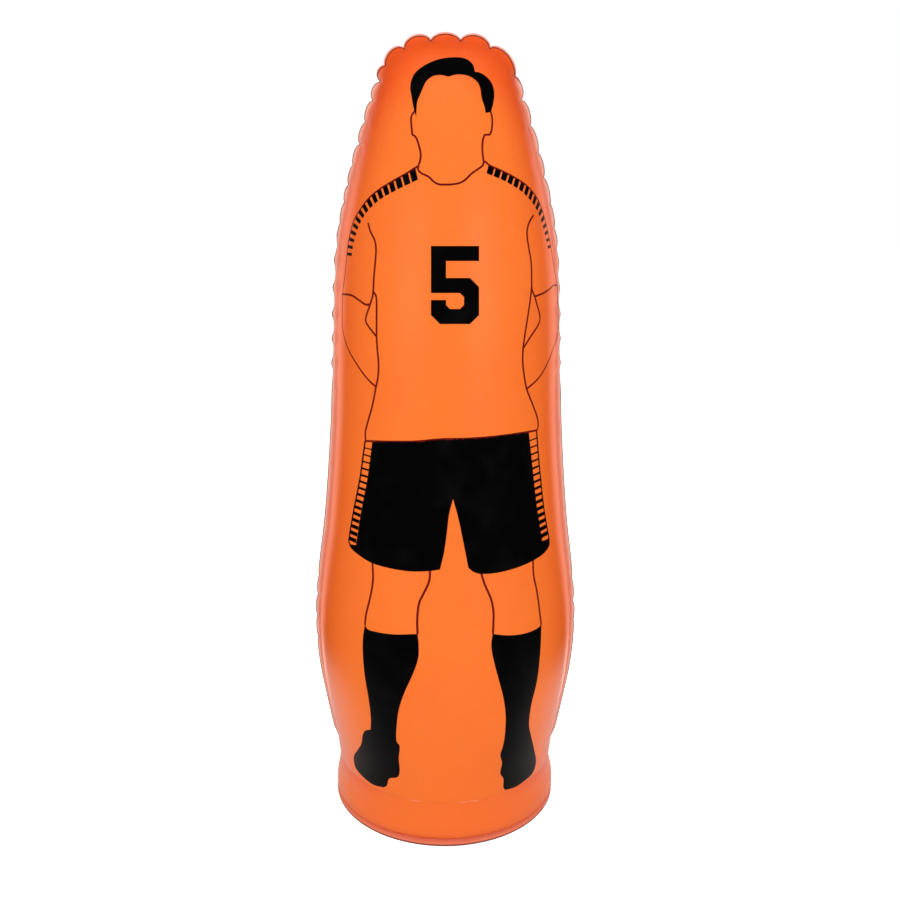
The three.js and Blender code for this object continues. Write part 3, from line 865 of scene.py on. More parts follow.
def clouded_material(name, plain, worn, clouds, gloss, relief, ior):
    """A plain finish that has gone slightly worn in clouds, under a fine grain."""
    made = bpy.data.materials.new(name)
    tree = blank_tree(made)
    values = {"Colour": plain, "Worn colour": worn, "Gloss": gloss, **clouds}
    surface = add_node(tree, "ShaderNodeGroup", values, node_tree=worn_clouds).outputs
    shaded(tree, surface, bumped(tree, surface["Height"], relief), ior)
    return made


solid_ink = clouded_material("solid_ink", ink_black, worn_ink_black, **ink_look)
line_ink = clouded_material("line_ink", thin_ink_brown, worn_thin_ink, **ink_look)

front_points, front_faces, front_normals = sheets["front_film"]
front_tree = bvhtree.BVHTree.FromPolygons(front_points.tolist(), front_faces)
focal_pixels = lens / sensor * photo_pixels
half_frame = photo_pixels / 2


def film_spot(x, y):
    """The place on the front film under a pixel, and the film's normal there."""
    ray = camera.matrix_world.to_3x3() @ Vector((x - half_frame, half_frame - y, -focal_pixels))
    place, _, face, _ = front_tree.ray_cast(camera_place, ray.normalized())
    if place is None:
        raise ValueError(f"no film under pixel {x:.1f}, {y:.1f}")
    corners = front_faces[face]
    shares = interpolate.poly_3d_calc([Vector(front_points[i]) for i in corners], place)
    normal = sum((Vector(front_normals[i]) * share for i, share in zip(corners, shares)), Vector())
    return place, normal.normalized()


def rounded(*runs):
    """A closed outline or a line of smooth runs. Each run goes on from the last point before it."""
    runs = [runs[0], *([before[-1], *run] for before, run in zip(runs, runs[1:]))]
    parts = [smooth_line(run, rounded_steps) if len(run) > 2 else np.array(run, float) for run in runs]
    line = np.vstack([part[:-1] for part in parts] + [parts[-1][-1:]])
    return line[:-1] if np.allclose(line[0], line[-1]) else line


def straight(*corners, spacing=fill_spacing):
    """A closed outline with straight sides, with points close enough to follow the film."""
    corners = np.array(corners, float)
    parts = []
    for a, b in zip(corners, np.roll(corners, -1, axis=0)):
        steps = max(math.ceil(np.hypot(*(b - a)) / spacing), 1)
        parts.append(a + (b - a) * np.linspace(0, 1, steps, endpoint=False)[:, None])
    return np.vstack(parts)


def holds(outline, x, y):
    """True if the outline goes round the point."""
    ends = np.roll(outline, -1, axis=0)
    crosses = (outline[:, 1] > y) != (ends[:, 1] > y)
    with np.errstate(divide="ignore", invalid="ignore"):
        share = (y - outline[:, 1]) / (ends[:, 1] - outline[:, 1])
        at = outline[:, 0] + share * (ends[:, 0] - outline[:, 0])
    return np.count_nonzero(crosses & (at > x)) % 2 == 1


def filled(outline, spacing=fill_spacing):
    """A patch of ink inside a closed outline, as spots on the film and triangles over them."""
    count = len(outline)
    low, high = outline.min(0), outline.max(0)
    inner = [
        (x, y) for x in np.arange(low[0], high[0], spacing) for y in np.arange(low[1], high[1], spacing)
        if holds(outline, x, y) and np.hypot(*(outline - (x, y)).T).min() > spacing / 2
    ]
    flat = [Vector(point) for point in [*outline, *inner]]
    rim = [(i, (i + 1) % count) for i in range(count)]
    flat, _, panels, *_ = geometry.delaunay_2d_cdt(flat, rim, [], 1, fill_tolerance)
    return [film_spot(*point) for point in flat], [list(panel)[::-1] for panel in panels]


def drawn(line, width=line_width, end_width=None):
    """A line of ink on the film, of one width or evenly changing between two."""
    spots = [film_spot(*point) for point in line]
    ahead = np.gradient(np.array([place for place, normal in spots]), axis=0)
    widths = np.linspace(width, end_width or width, len(spots))
    made = []
    for (place, normal), step, width in zip(spots, ahead, widths):
        side = normal.cross(Vector(step)).normalized() * width / 2
        made += [(place - side, normal), (place + side, normal)]
    return made, [[2 * i, 2 * i + 2, 2 * i + 3, 2 * i + 1] for i in range(len(spots) - 1)]


def ink_piece(name, patches, finish=solid_ink):
    """A thin closed layer of ink over the patches, shaded as the film below it."""
    points, faces, normals = [], [], []
    for spots, panels in patches:
        start, count = len(points), len(spots)
        facing = sum(
            np.dot(np.cross(spots[b][0] - spots[a][0], spots[c][0] - spots[a][0]), spots[a][1])
            for a, b, c in (panel[:3] for panel in panels)
        )
        if facing < 0:
            panels = [panel[::-1] for panel in panels]
        for lift in (ink_top, ink_foot):
            points += [place + normal * lift for place, normal in spots]
            normals += [tuple(normal) for place, normal in spots]
        rims = {}
        for panel in panels:
            faces.append([start + i for i in panel])
            faces.append([start + count + i for i in reversed(panel)])
            rims.update({(a, b): True for a, b in zip(panel, panel[1:] + panel[:1])})
        for a, b in rims:
            if (b, a) not in rims:
                faces.append([start + b, start + a, start + count + a, start + count + b])
    piece = add_piece(name, [tuple(point) for point in points], faces, finish)
    piece.data.normals_split_custom_set_from_vertices(normals)
    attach(piece, "dummy")

# Head. A swept head of hair is printed solid black, and thin lines draw the ears, the neck and the
# shirt's collar. The face is left as bare film.
head_line_width = 0.004
hair = rounded(
    [(416.3, 116.5), (414.4, 111.3), (411.3, 95), (410.3, 87.5), (411.5, 80), (415, 73.1), (421.3, 67.5),
     (430, 62.5), (440, 59), (450, 57.5), (462.5, 57.8), (468.8, 60.6), (473.1, 65), (475, 71.9)],
    [(479, 72.4), (485, 75.6), (491.3, 82.5), (494.1, 91.3), (493.8, 100), (491, 111.9)],
    [(485.6, 113.1)],
    [(484.4, 106.3), (481.9, 98.8), (480, 87.5), (478.1, 83.1), (473.8, 78.8), (467.5, 75.6),
     (458.8, 74.4), (452.5, 75.4), (448.1, 76.6), (443.8, 75.4), (438.8, 75), (432.5, 76.3),
     (426.3, 81.3), (423.1, 87.5), (420, 95), (417.5, 100.6), (416.6, 107.5), (416.3, 116.5)],
)
left_ear_and_neck = rounded(
    [(414.6, 111.3), (411.9, 115), (411, 119.4), (411.7, 127.5), (412.3, 134.6)],
    [(414.4, 135.6)],
    [(416.7, 138.8), (418.8, 145), (420.5, 152.5), (420.3, 160), (418.6, 165.5), (417.9, 170)],
)
collar = rounded(
    [(417.9, 170), (421.3, 173.1), (428.8, 176.9), (433.8, 181.7), (438.8, 184.2), (445, 184.6),
     (451.3, 184.4), (460, 182.8), (465, 180), (471.3, 173.8), (477.5, 169.4), (482.5, 165.6),
     (483.8, 161.8)],
)
right_ear_and_neck = rounded(
    [(483.8, 161.8), (483.1, 157.5), (482.4, 150), (482.7, 141.3), (484.4, 134.9)],
    [(489.8, 134.6)],
    [(491.3, 131.3), (492.3, 121.3), (491.9, 116.3), (490.6, 111.6)],
)
ink_piece("print_hair", [filled(hair)])
head_lines = [drawn(line, head_line_width) for line in (left_ear_and_neck, collar, right_ear_and_neck)]
ink_piece("print_head_outline", head_lines, line_ink)

# Shirt. Thin lines of ink draw its shoulders, sleeves, sides and hem, and the arms held behind the
# back. A row of short bars runs over each shoulder and grows thin down the row. Each edge of a row
# has a point at every third bar.
rim_line_width = 0.0024
bar_count = 16
bar_points = 3
bar_shares = (0.8, 0.4)
bar_spacing = 1.2
left_bar_edges = (
    [(415.2, 167.8), (393.4, 181), (375, 193), (360.5, 209.3), (351.6, 229.8), (347.2, 252.3),
     (344.9, 275)],
    [(418, 179.6), (396, 190.3), (378, 201), (364.5, 215.3), (356.3, 233), (352, 253.2), (350, 275)],
)
right_bar_edges = (
    [(488.7, 165.2), (509.5, 175), (526.2, 185.5), (538, 201), (545.6, 222.5), (550.5, 244.5),
     (554, 266)],
    [(486.5, 173.2), (507.3, 182.3), (524, 193.5), (535.5, 207.5), (542.8, 226), (547.5, 246),
     (551, 267)],
)
edge_steps = 12


def bars(edges, count, per_point, shares, gaps=False):
    """Bars across a band between two edges; with gaps, what is left between them instead."""
    outer, inner = (smooth_line(edge, edge_steps) for edge in edges)

    def spot_on(edge, bar):
        at = bar / per_point * edge_steps
        return [np.interp(at, np.arange(len(edge)), edge[:, axis]) for axis in (0, 1)]

    made = []
    for bar in range(count):
        share = shares[0] + (shares[1] - shares[0]) * bar / (count - 1)
        start, end = (bar + share, bar + 1) if gaps else (bar, bar + share)
        ring = [spot_on(outer, start), spot_on(outer, end), spot_on(inner, end), spot_on(inner, start)]
        made.append(filled(straight(*ring, spacing=bar_spacing), bar_spacing))
    return made


left_shoulder = rounded(
    [(418.2, 166.2), (414.8, 168), (407.5, 172.8), (393.4, 180.7), (380.5, 188.6), (369.8, 197.2),
     (360.3, 209.2), (353.3, 222), (349.6, 236.5), (347.5, 248), (346.6, 258), (345, 275), (342.3, 294)],
)
right_shoulder = rounded(
    [(483.8, 161.3), (486.4, 162.5), (488.9, 165), (502.5, 171.2), (516, 178.3), (526.4, 185.4),
     (534.9, 194.8), (540.4, 205), (545.4, 221), (549.6, 240), (552.1, 255), (554.6, 270), (557.2, 285)],
)
left_armpit = rounded(
    [(368, 222.6), (370.5, 231.5), (374.6, 240), (376, 248), (375.4, 261), (373.9, 277), (373.2, 291.5),
     (372.3, 297.5), (370, 304.7)],
)
left_sleeve_hem = rounded([(342.3, 294), (351.7, 295.4), (359.7, 300.7), (366, 304.6), (370, 304.3)])
left_elbow = rounded([(370, 305), (365.6, 320), (367.6, 325), (376, 336)])
left_inner_fold = rounded([(372.9, 291), (376, 296), (376.6, 308), (376.6, 336), (377.4, 350)])
left_side = rounded(
    [(377.4, 350), (378.6, 363.5), (378, 377), (376, 387), (372.5, 405), (367.6, 423), (365.4, 432),
     (365.6, 441)],
)
left_forearm = rounded(
    [(342.4, 294), (342.9, 330), (347.8, 348), (357.7, 365.5), (367.6, 379), (376, 387)],
)
right_armpit = rounded(
    [(533.6, 215), (528.7, 223.6), (527, 233.5), (528.7, 247.4), (531.2, 263), (531.8, 287)],
)
right_armpit_fork = rounded([(531.6, 285.5), (532.4, 291), (534.8, 296.6)])
right_sleeve_hem = rounded([(534.8, 296.6), (543.5, 293), (549.5, 289), (553.4, 285.4), (557.4, 285.3)])
right_elbow = rounded([(534.6, 296), (540, 318), (538.6, 324), (529.7, 338), (523.7, 347.7)])
right_side = rounded(
    [(531.7, 286), (529.7, 304), (524.7, 336), (523, 350), (522.8, 363.5), (524.7, 379), (526.7, 389),
     (533.6, 407), (537.6, 419), (538, 427), (536.6, 430.3)],
)
right_forearm = rounded(
    [(557.4, 286), (557.4, 336), (553.6, 347), (547.4, 363.3), (538.4, 378.3), (526.7, 389)],
)
shirt_hem = rounded(
    [(365.6, 441), (389, 441.6), (417, 441.4), (440.7, 439.2), (468.4, 438.6), (498, 436.2),
     (527.7, 431.9), (536.6, 430.3)],
)
for name, edges in (
    ("print_left_shoulder_bars", left_bar_edges), ("print_right_shoulder_bars", right_bar_edges),
):
    ink_piece(name, bars(edges, bar_count, bar_points, bar_shares))
shirt_lines = [drawn(line) for line in (left_armpit, right_armpit, left_side, right_side, shirt_hem)]
shirt_lines += [drawn(line, line_width, rim_line_width) for line in (left_shoulder, right_shoulder)]
ink_piece("print_shirt_outline", shirt_lines, line_ink)
arm_lines = [
    drawn(line)
    for line in (left_sleeve_hem, left_elbow, left_inner_fold, right_armpit_fork, right_elbow)
]
arm_lines += [drawn(line, rim_line_width, line_width) for line in (left_forearm, right_forearm)]
arm_lines.append(drawn(right_sleeve_hem, line_width, rim_line_width))
ink_piece("print_arm_outlines", arm_lines, line_ink)

# Shirt number. A plain block figure is printed solid black on the chest. Its outer corners are cut
# off and its inner corners are filled.
number_corners = [
    (431, 246), (479, 246), (479, 261), (446, 261), (446, 278), (470, 278), (479, 287), (479, 315),
    (470, 324), (440, 324), (431, 315), (431, 300), (446, 300), (446, 305), (450, 309), (460, 309),
    (464, 305), (464, 297), (460, 293), (431, 293),
]
ink_piece("print_shirt_number", [filled(straight(*number_corners))])

# Shorts. They are printed solid black down to both hems, with a ladder of bare film cells down each
# outer side. A thin line of ink shuts the ladder on the outside.
ladder_shares = (0.83, 0.4)
left_ladder_edges = (
    [(365.2, 441.4), (360.4, 475.6), (354.5, 507.8), (349.5, 540.3)],
    [(372.3, 443.2), (367.6, 478), (361.3, 510.6), (356, 543.2)],
)
right_ladder_edges = (
    [(536.1, 431.6), (539, 466.8), (542.7, 501.2), (548.1, 534.4)],
    [(528.9, 434.3), (532.7, 469.6), (536.5, 504), (541.8, 538.2)],
)
ladder_points = 5
ladder_rungs = 15
shorts = rounded(
    [(372.3, 442), (389, 441.8), (417, 441.6), (440.7, 439.4), (453, 438.9), (468.4, 438.6),
     (498, 436.2), (528.8, 432)],
    [(532.7, 469.6), (536.5, 504), (542.2, 541)],
    [(549.3, 537.5)],
    [(549.4, 545), (544.4, 552.6), (533.5, 560.4), (518, 567.2), (502.5, 571.7), (487, 573.9),
     (475, 572.6), (468.4, 568)],
    [(463, 540.5), (457.8, 516), (453, 499)],
    [(449, 514.7), (447, 532), (444, 552.6), (440, 569.5)],
    [(430, 571), (409.5, 571.3), (389, 568), (372, 563), (358, 554.4), (350.5, 547.2), (348.4, 541.5)],
    [(356, 545.4)],
    [(361.2, 512), (367.6, 478), (372.3, 442)],
)
left_shorts_edge = rounded(
    [(365.2, 441), (362.6, 460), (360.1, 478), (356.6, 496), (352.4, 518), (349, 540), (349, 543)],
)
right_shorts_edge = rounded(
    [(536.5, 430.4), (537.7, 446), (539, 463), (541, 483), (543.2, 504), (546, 522), (549.2, 540)],
)
ink_piece("print_shorts", [filled(shorts), drawn(left_shorts_edge), drawn(right_shorts_edge)])
for name, edges in (("print_left_ladder", left_ladder_edges), ("print_right_ladder", right_ladder_edges)):
    ink_piece(name, bars(edges, ladder_rungs, ladder_points, ladder_shares, gaps=True))

# Legs. Thin outlines run down the bare legs. Each sock is printed with its boot as one solid black
# shape, whose sole ends just above the crease.
leg_line_width = 0.0048
boot_spacing = 1.6
left_outer_leg = rounded([(372.5, 563), (373, 580), (370.3, 597), (366, 615), (365, 625)])
left_inner_leg = rounded(
    [(430, 570.6), (429.2, 581), (423.4, 594), (419.3, 602.5), (417.2, 620), (417.6, 634)],
)
right_inner_leg = rounded([(481, 573), (485, 585), (491, 599), (493.4, 611), (493, 634)])
right_outer_leg = rounded([(533, 560), (533.6, 575), (537, 592), (541.3, 625)])
left_sock = rounded(
    [(365, 624.6), (367.4, 629), (376.8, 632), (394, 634.4), (417.6, 634)],
    [(418.7, 646), (418.2, 658), (413, 673.7), (404.4, 692.6), (399.2, 708), (397, 722), (396.6, 741),
     (399.6, 746), (398.7, 758), (399.6, 772), (397.5, 777), (389, 778.7), (386.8, 785.6),
     (383.7, 787.3)],
    [(373.4, 784.7), (361.3, 775), (355.3, 766.6), (354, 756), (357, 751), (361.3, 744), (363, 734),
     (365.6, 730.5), (370.5, 729.6)],
    [(371, 720), (369, 701), (365, 677), (363, 656), (363, 637.5), (365, 624.6)],
)
right_sock = rounded(
    [(541.3, 624.6), (537.8, 628), (526.6, 633), (509.4, 635.4), (492.7, 634)],
    [(491.3, 646), (494, 661.6), (499, 680.5), (503.4, 698), (505.6, 715), (504.8, 735.7),
     (502.5, 747.7), (500.3, 754.6), (502, 763), (500.3, 773.5), (503.4, 778.7), (503.4, 787.3),
     (505, 790)],
    [(514.6, 787.3), (525, 780.4), (532.7, 772.7), (536, 761.5), (534.4, 751), (531, 735.7),
     (529, 725.3), (531, 706), (537, 680.5), (540.4, 649.5), (541.3, 624.6)],
)
leg_lines = [
    drawn(line, leg_line_width)
    for line in (left_outer_leg, left_inner_leg, right_inner_leg, right_outer_leg)
]
ink_piece("print_leg_outlines", leg_lines, line_ink)
ink_piece("print_left_sock_and_boot", [filled(left_sock, boot_spacing)])
ink_piece("print_right_sock_and_boot", [filled(right_sock, boot_spacing)])

# Divider. A disc of the film lies across the crease, welded in between the hems of the body and the
# foot, and parts the air above from the water below.
divider_thickness = 0.0005
divider_radii = (0, 0.06, 0.12, 0.18, 0.22, 0.236, 0.239, 0.241, 0.25, 0.2525)
divider_low = crease_height - divider_thickness / 2
divider_orange = (0.93, 0.165, 0.03, 1)
round_steps = 360
same_radius = 1e-6
piece_sharp = math.radians(42)
plain_turn = 0.8


def turned(profile, segments, shape=None):
    """A profile of (radius, along) pairs turned about Z. One that starts and ends on the axis stays
    open there, and any other closes on itself. shape(radius, angle, along) may change both."""
    profile = np.asarray(profile, float)
    count = len(profile)
    angle = 2 * math.pi * np.arange(segments)[:, None] / segments
    radius = np.tile(profile[:, 0], (segments, 1))
    height = np.tile(profile[:, 1], (segments, 1))
    if shape:
        radius, height = shape(radius, angle, height)
    points = np.stack([radius * np.cos(angle), radius * np.sin(angle), height], -1).reshape(-1, 3)
    on_axis = profile[:, 0] < same_radius

    def corner(k, j):
        j %= count
        return j if on_axis[j] else (k % segments) * count + j

    used, faces = trimmed([
        [corner(k, j), corner(k + 1, j), corner(k + 1, j + 1), corner(k, j + 1)]
        for k in range(segments) for j in range(count - 1 if on_axis[0] else count)
    ])
    return points[used], faces


def fit(name, shape, finish, body, node, masks=None):
    """A piece made from points and faces, on its body, in place of its CAD node."""
    points, faces = shape
    piece = add_piece(name, points, faces, finish)
    if masks:
        mark(piece, masks(points))
    piece.data.set_sharp_from_angle(angle=piece_sharp)
    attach(piece, body)
    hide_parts(node)
    return piece


def plain_film(points):
    """Masks of film away from the figure's weld."""
    count = len(points)
    return {"turn": np.full(count, plain_turn), "flange": np.zeros(count), "cut_edge": np.zeros(count)}


divider_finish = film_material("foot_film_gloss", orange=divider_orange)
divider_profile = [(radius, divider_low) for radius in divider_radii]
divider_profile += [(radius, divider_low + divider_thickness) for radius in divider_radii[::-1]]
fit(
    "divider_film", turned(divider_profile, round_steps), divider_finish, "dummy", "divider",
    plain_film,
)

# Foot. A band of film bulges round the water. Its top hem turns inwards under the divider, and its
# lower edge rounds in and then turns out flat on the bottom film, as a weld flange on the ground.
bottom_thickness = 0.0008
flange_radius = 0.2628
foot_flange_top = bottom_thickness + film_gap + film_thickness
wall_top = divider_low - film_gap
wall_knots = [
    (0.2528, wall_top), (0.2523, 0.105), (0.2525, 0.098), (0.2532, 0.09), (0.2545, 0.08), (0.2562, 0.07),
    (0.2583, 0.06), (0.2604, 0.05), (0.2619, 0.04), (0.2621, 0.03), (0.2588, 0.02), (0.2486, 0.01),
    (0.2416, 0.0048), (0.2378, 0.0028),
]
wall_turn = [(0.2378, 0.0028), (0.2366, 0.0022), (0.2368, 0.0017), (0.2382, foot_flange_top)]
foot_flange_rings = (0.2415, 0.2435, 0.2455, 0.2535, 0.2555, 0.2575, 0.2615, 0.2619, 0.2626, flange_radius)
foot_flange_start = 0.2365
flange_skin = 0.0001
wall_steps = 4
turn_steps = 3
pucker_depth = 0.0006
pucker_fade = 0.012
pucker_waves = (83, 7, 29)
pucker_shifts = (2.1, 1.3)
wall_slack = 0.0004
slack_fade = 0.03
slack_waves = (5, 40)
wall_foot = 0.004
filler_height = 0.061
filler_face = 0.26406
filler_neck = 0.019
swell_width = 0.5
swell_height = 0.03
corner_height = 0.03
corner_growth = 0.0232
corner_bend = 1.6
# Painted highlights on folds of the crease: the turn, width and height of each.
crease_highlights = ((-15.0, 3.2, 0.1075), (9.5, 2.6, 0.1072), (14.5, 2.2, 0.1083), (17.0, 1.8, 0.106))
highlight_height = 0.0012
highlight_paleness = 0.55
# Painted shade: width of the dark line along the foot flange's cut edge, and how it blurs.
foot_edge_shade = 0.0023
foot_edge_blur = 0.0006
foot_edge_aside = 0.22
foot_edge_front = (0.25, 0.8056)
# Painted shade: the film under the crease is painted deeper at the sides.
side_shade = 0.7
shaded_sides = (0.3125, 0.9375)
shade_height = 0.035
# Painted reflection: the flange round the ground is painted pale for the white ground it mirrors, bright
# enough to outweigh the shade under the wall.
foot_flange_sheen = (1, 0.39, 0.225, 1)
wall_orange = (0.93, 0.16, 0.022, 1)

wall_line = smooth_line(wall_knots, wall_steps)
wall_heights, wall_radii = wall_line[::-1, 1], wall_line[::-1, 0]
filler_swell = filler_face - float(np.interp(filler_height, wall_heights, wall_radii))


def wall_swell(angle, height):
    """How far the wall stands out beyond its even section, near the filler."""
    aside = np.clip(np.abs(angle - math.pi / 2) / swell_width, 0, 1)
    return filler_swell * (1 - aside ** 2) ** 2 * np.exp(-((height - filler_height) / swell_height) ** 2)


def corner_swell(radius, angle, height):
    """How far the lower corner and the flange under it stand further out at the sides."""
    low = np.clip((corner_height - height) / corner_height, 0, 1) ** corner_bend
    on_flange = height < foot_flange_top + flange_skin
    inner = rise(radius, flange_radius, wall_knots[-1][0])
    return corner_growth * np.cos(angle) ** 2 * low * np.where(on_flange, inner, 1.0)


def wall_puckers(radius, angle, height):
    """Short upright puckers under the crease, where the round film is drawn in, and the swellings."""
    drawn_in = np.exp(-(wall_top - height) / pucker_fade)
    (short, slow, wide), (swing, shift) = pucker_waves, pucker_shifts
    wave = np.sin(angle * short + swing * np.sin(angle * slow)) * np.sin(angle * wide + shift) * 0.5 + 0.5
    round_it, up_it = slack_waves
    loose = wall_slack * np.sin(angle * round_it + height * up_it)
    loose *= np.clip((wall_top - height) / slack_fade, 0, 1)
    outside = (radius > crease_radius - hem_width / 2) & (height > wall_foot)
    change = outside * (loose - pucker_depth * drawn_in * wave + wall_swell(angle, height))
    return radius + change + corner_swell(radius, angle, height), height


def foot_masks(points):
    """Weld flange round the ground painted pale, as a painted reflection of the white ground, with a dark
    cut edge of painted shade; film painted deeper at the sides under the crease, as painted shade; and
    painted highlights on a few folds in the crease."""
    masks = plain_film(points)
    x, y, z = points.T
    reach = np.hypot(x, y)
    turns = np.arctan2(x, -y)
    folds = sum(
        np.exp(-((np.degrees(turns) - turn) / width) ** 2 - ((z - height) / highlight_height) ** 2)
        for turn, width, height in crease_highlights
    )
    # The flange is painted pale, and the folds carry painted highlights.
    on_flange = z < foot_flange_top + film_thickness
    masks["flange"] = np.maximum(on_flange & (reach > foot_flange_start), highlight_paleness * folds)
    # Painted shade: the flange's cut edge carries a dark line, wider at the front than at the sides.
    front = rise(np.abs(np.cos(turns)), *foot_edge_front)
    width = foot_edge_shade * (foot_edge_aside + (1 - foot_edge_aside) * front)
    masks["cut_edge"] = on_flange * np.clip((reach - flange_radius + width) / foot_edge_blur, 0, 1)
    aside = rise(np.abs(x) / crease_radius, *shaded_sides)
    masks["turn"] -= side_shade * aside * np.exp(-((wall_top - z) / shade_height) ** 2)
    return masks


wall_outside = np.array([
    (crease_radius - hem_width, wall_top), (crease_radius - hem_width / 2, wall_top), *wall_line,
    *smooth_line(wall_turn, turn_steps)[1:], *((radius, foot_flange_top) for radius in foot_flange_rings),
])
ahead = unit(np.gradient(wall_outside, axis=0))
wall_inside = wall_outside + np.stack([ahead[:, 1], -ahead[:, 0]], -1) * film_thickness
for end in (0, -1):
    wall_inside[end] = wall_outside[end] - (0, film_thickness)
foot_piece = fit(
    "foot_wall_film", turned([*wall_outside[::-1], *wall_inside], round_steps, wall_puckers),
    film_material("foot_wall_gloss", filler_height, wall_orange, pale=foot_flange_sheen),
    "dummy", "foot_wall", foot_masks,
)
cut_hole(foot_piece, filler_face, filler_height, filler_neck + film_gap)

# Foot's bottom. The heavier bottom film is a flat disc that lies on the ground. It is cut flush with
# the wall's flange, and the welding tool has left two shallow grooves round it.
groove_depth = 0.0003
groove_half = 0.0015
groove_radii = (0.2435, 0.2555)
bottom_orange = (0.95, 0.2, 0.055, 1)
bottom_radii = (0, 0.06, 0.12, 0.18, 0.21, 0.232, 0.2355, *foot_flange_rings)

bottom_profile = [
    (radius, groove_depth * max(0.0, *(1 - abs(radius - middle) / groove_half for middle in groove_radii)))
    for radius in bottom_radii
]
bottom_profile += [(radius, bottom_thickness) for radius in bottom_radii[::-1]]
fit(
    "foot_bottom_film", turned(bottom_profile, round_steps),
    film_material("foot_bottom_gloss", orange=bottom_orange, pale=foot_flange_sheen),
    "dummy", "foot_bottom", foot_masks,
)

# Air valve's base. A soft flange is welded to the inside of the back film, and its neck comes out
# through the hole. The neck is threaded inside for the insert.
air_bore = 0.0125
air_neck = 0.0155
air_neck_height = 0.007
air_seat = (air_face, air_valve_height)
neck_inside = 0.006
flange_reach = 0.03
flange_rings = 7
flange_thickness = 0.0012
flange_step = film_thickness + film_gap
flange_ease = (0.0003, 2)
ease_limit = 0.45
neck_segments = 120
thread_steps = 0.0004
thread_depth = 0.0005
insert_travel = 0.016
insert_turns = 1.5
insert_starts = 3
insert_pitch = insert_travel / (insert_turns * insert_starts)
valve_orange = (0.9, 0.22, 0.06, 1)
valve_deep = (0.84, 0.16, 0.04, 1)
valve_film_gloss = 0.3

valve_film = film_material(
    "valve_flange_gloss", orange=valve_orange, shade_and_tint=valve_deep, gloss=valve_film_gloss,
)


def eased(corners, ease, steps=3):
    """A closed profile with every corner off the axis rounded by about a length."""
    corners = np.asarray(corners, float)
    line = []
    for before, here, after in zip(np.roll(corners, 1, 0), corners, np.roll(corners, -1, 0)):
        if here[0] < same_radius:
            line.append(here)
            continue
        back, on = before - here, after - here
        reach = min(ease, np.linalg.norm(back) * ease_limit, np.linalg.norm(on) * ease_limit)
        start = here + back / np.linalg.norm(back) * reach
        end = here + on / np.linalg.norm(on) * reach
        for t in np.linspace(0, 1, steps + 1):
            line.append((1 - t) ** 2 * start + 2 * t * (1 - t) * here + t ** 2 * end)
    return np.array(line)


def seated(shape, seat):
    """A shape turned about Z, moved to a valve's seat on the back with its axis along Y."""
    points, faces = shape
    face, height = seat
    x, y, z = np.asarray(points).T
    return np.stack([x, face + z, height - y], -1), faces


def stepped(profile, radius):
    """The profile with its straight runs at a radius cut into short steps, for a thread."""
    line = []
    for here, after in zip(profile, np.roll(profile, -1, 0)):
        line.append(here)
        if abs(here[0] - radius) < same_radius and abs(after[0] - radius) < same_radius:
            steps = int(abs(after[1] - here[1]) / thread_steps)
            line += [here + (after - here) * k / steps for k in range(1, steps)]
    return np.array(line)


def swell(phase):
    """A wave between 0 and 1."""
    return 0.5 - 0.5 * np.cos(phase)


def thread(at_radius, low, high, pitch, starts, inside=False):
    """The change of shape that cuts a round topped screw thread into a turned piece."""
    def cut(radius, angle, height):
        fade = np.clip((height - low) / pitch * 2, 0, 1) * np.clip((high - height) / pitch * 2, 0, 1)
        wave = swell(2 * math.pi * height / pitch - starts * angle)
        here = np.abs(radius - at_radius) < same_radius
        return radius + here * fade * wave * (thread_depth if inside else -thread_depth), height
    return cut


def necked_flange(bore, neck, neck_height, film_at, cut):
    """A flange that follows the film's inside, with a neck through it."""
    rings = np.linspace(neck, flange_reach, flange_rings)[1:]
    profile = [
        (bore, -neck_inside), (neck, -neck_inside), (neck, -neck_inside / 2),
        *((radius, -flange_step - flange_thickness) for radius in rings),
        *((radius, -flange_step) for radius in rings[::-1]),
        (neck, -flange_step), (neck, neck_height), (bore, neck_height),
    ]

    def shape(radius, angle, height):
        radius, height = cut(radius, angle, height)
        on_film = (radius > neck + same_radius) | (np.abs(height + flange_step) < flange_step / 2)
        drop = film_at(radius * np.cos(angle), -radius * np.sin(angle))
        return radius, height + np.where(on_film & (radius > neck - same_radius), drop, 0.0)
    return turned(stepped(eased(profile, *flange_ease), bore), neck_segments, shape)


back_tree = bvhtree.BVHTree.FromPolygons(sheets["back_film"][0].tolist(), sheets["back_film"][1])


def back_film_drop(x, z):
    """How far the back film lies from the air valve's face, at places about its middle."""
    found = [
        back_tree.ray_cast(Vector((a, 1, air_valve_height + b)), Vector((0, -1, 0)))[0].y - air_face
        for a, b in zip(np.ravel(x), np.ravel(z))
    ]
    return np.array(found).reshape(np.shape(x))


base_screw = thread(air_bore, -neck_inside, air_neck_height, insert_pitch, insert_starts, True)
air_base = necked_flange(air_bore, air_neck, air_neck_height, back_film_drop, base_screw)
fit(
    "air_base", seated(air_base, air_seat), valve_film, "dummy", "air_valve_base",
    plain_film,
)

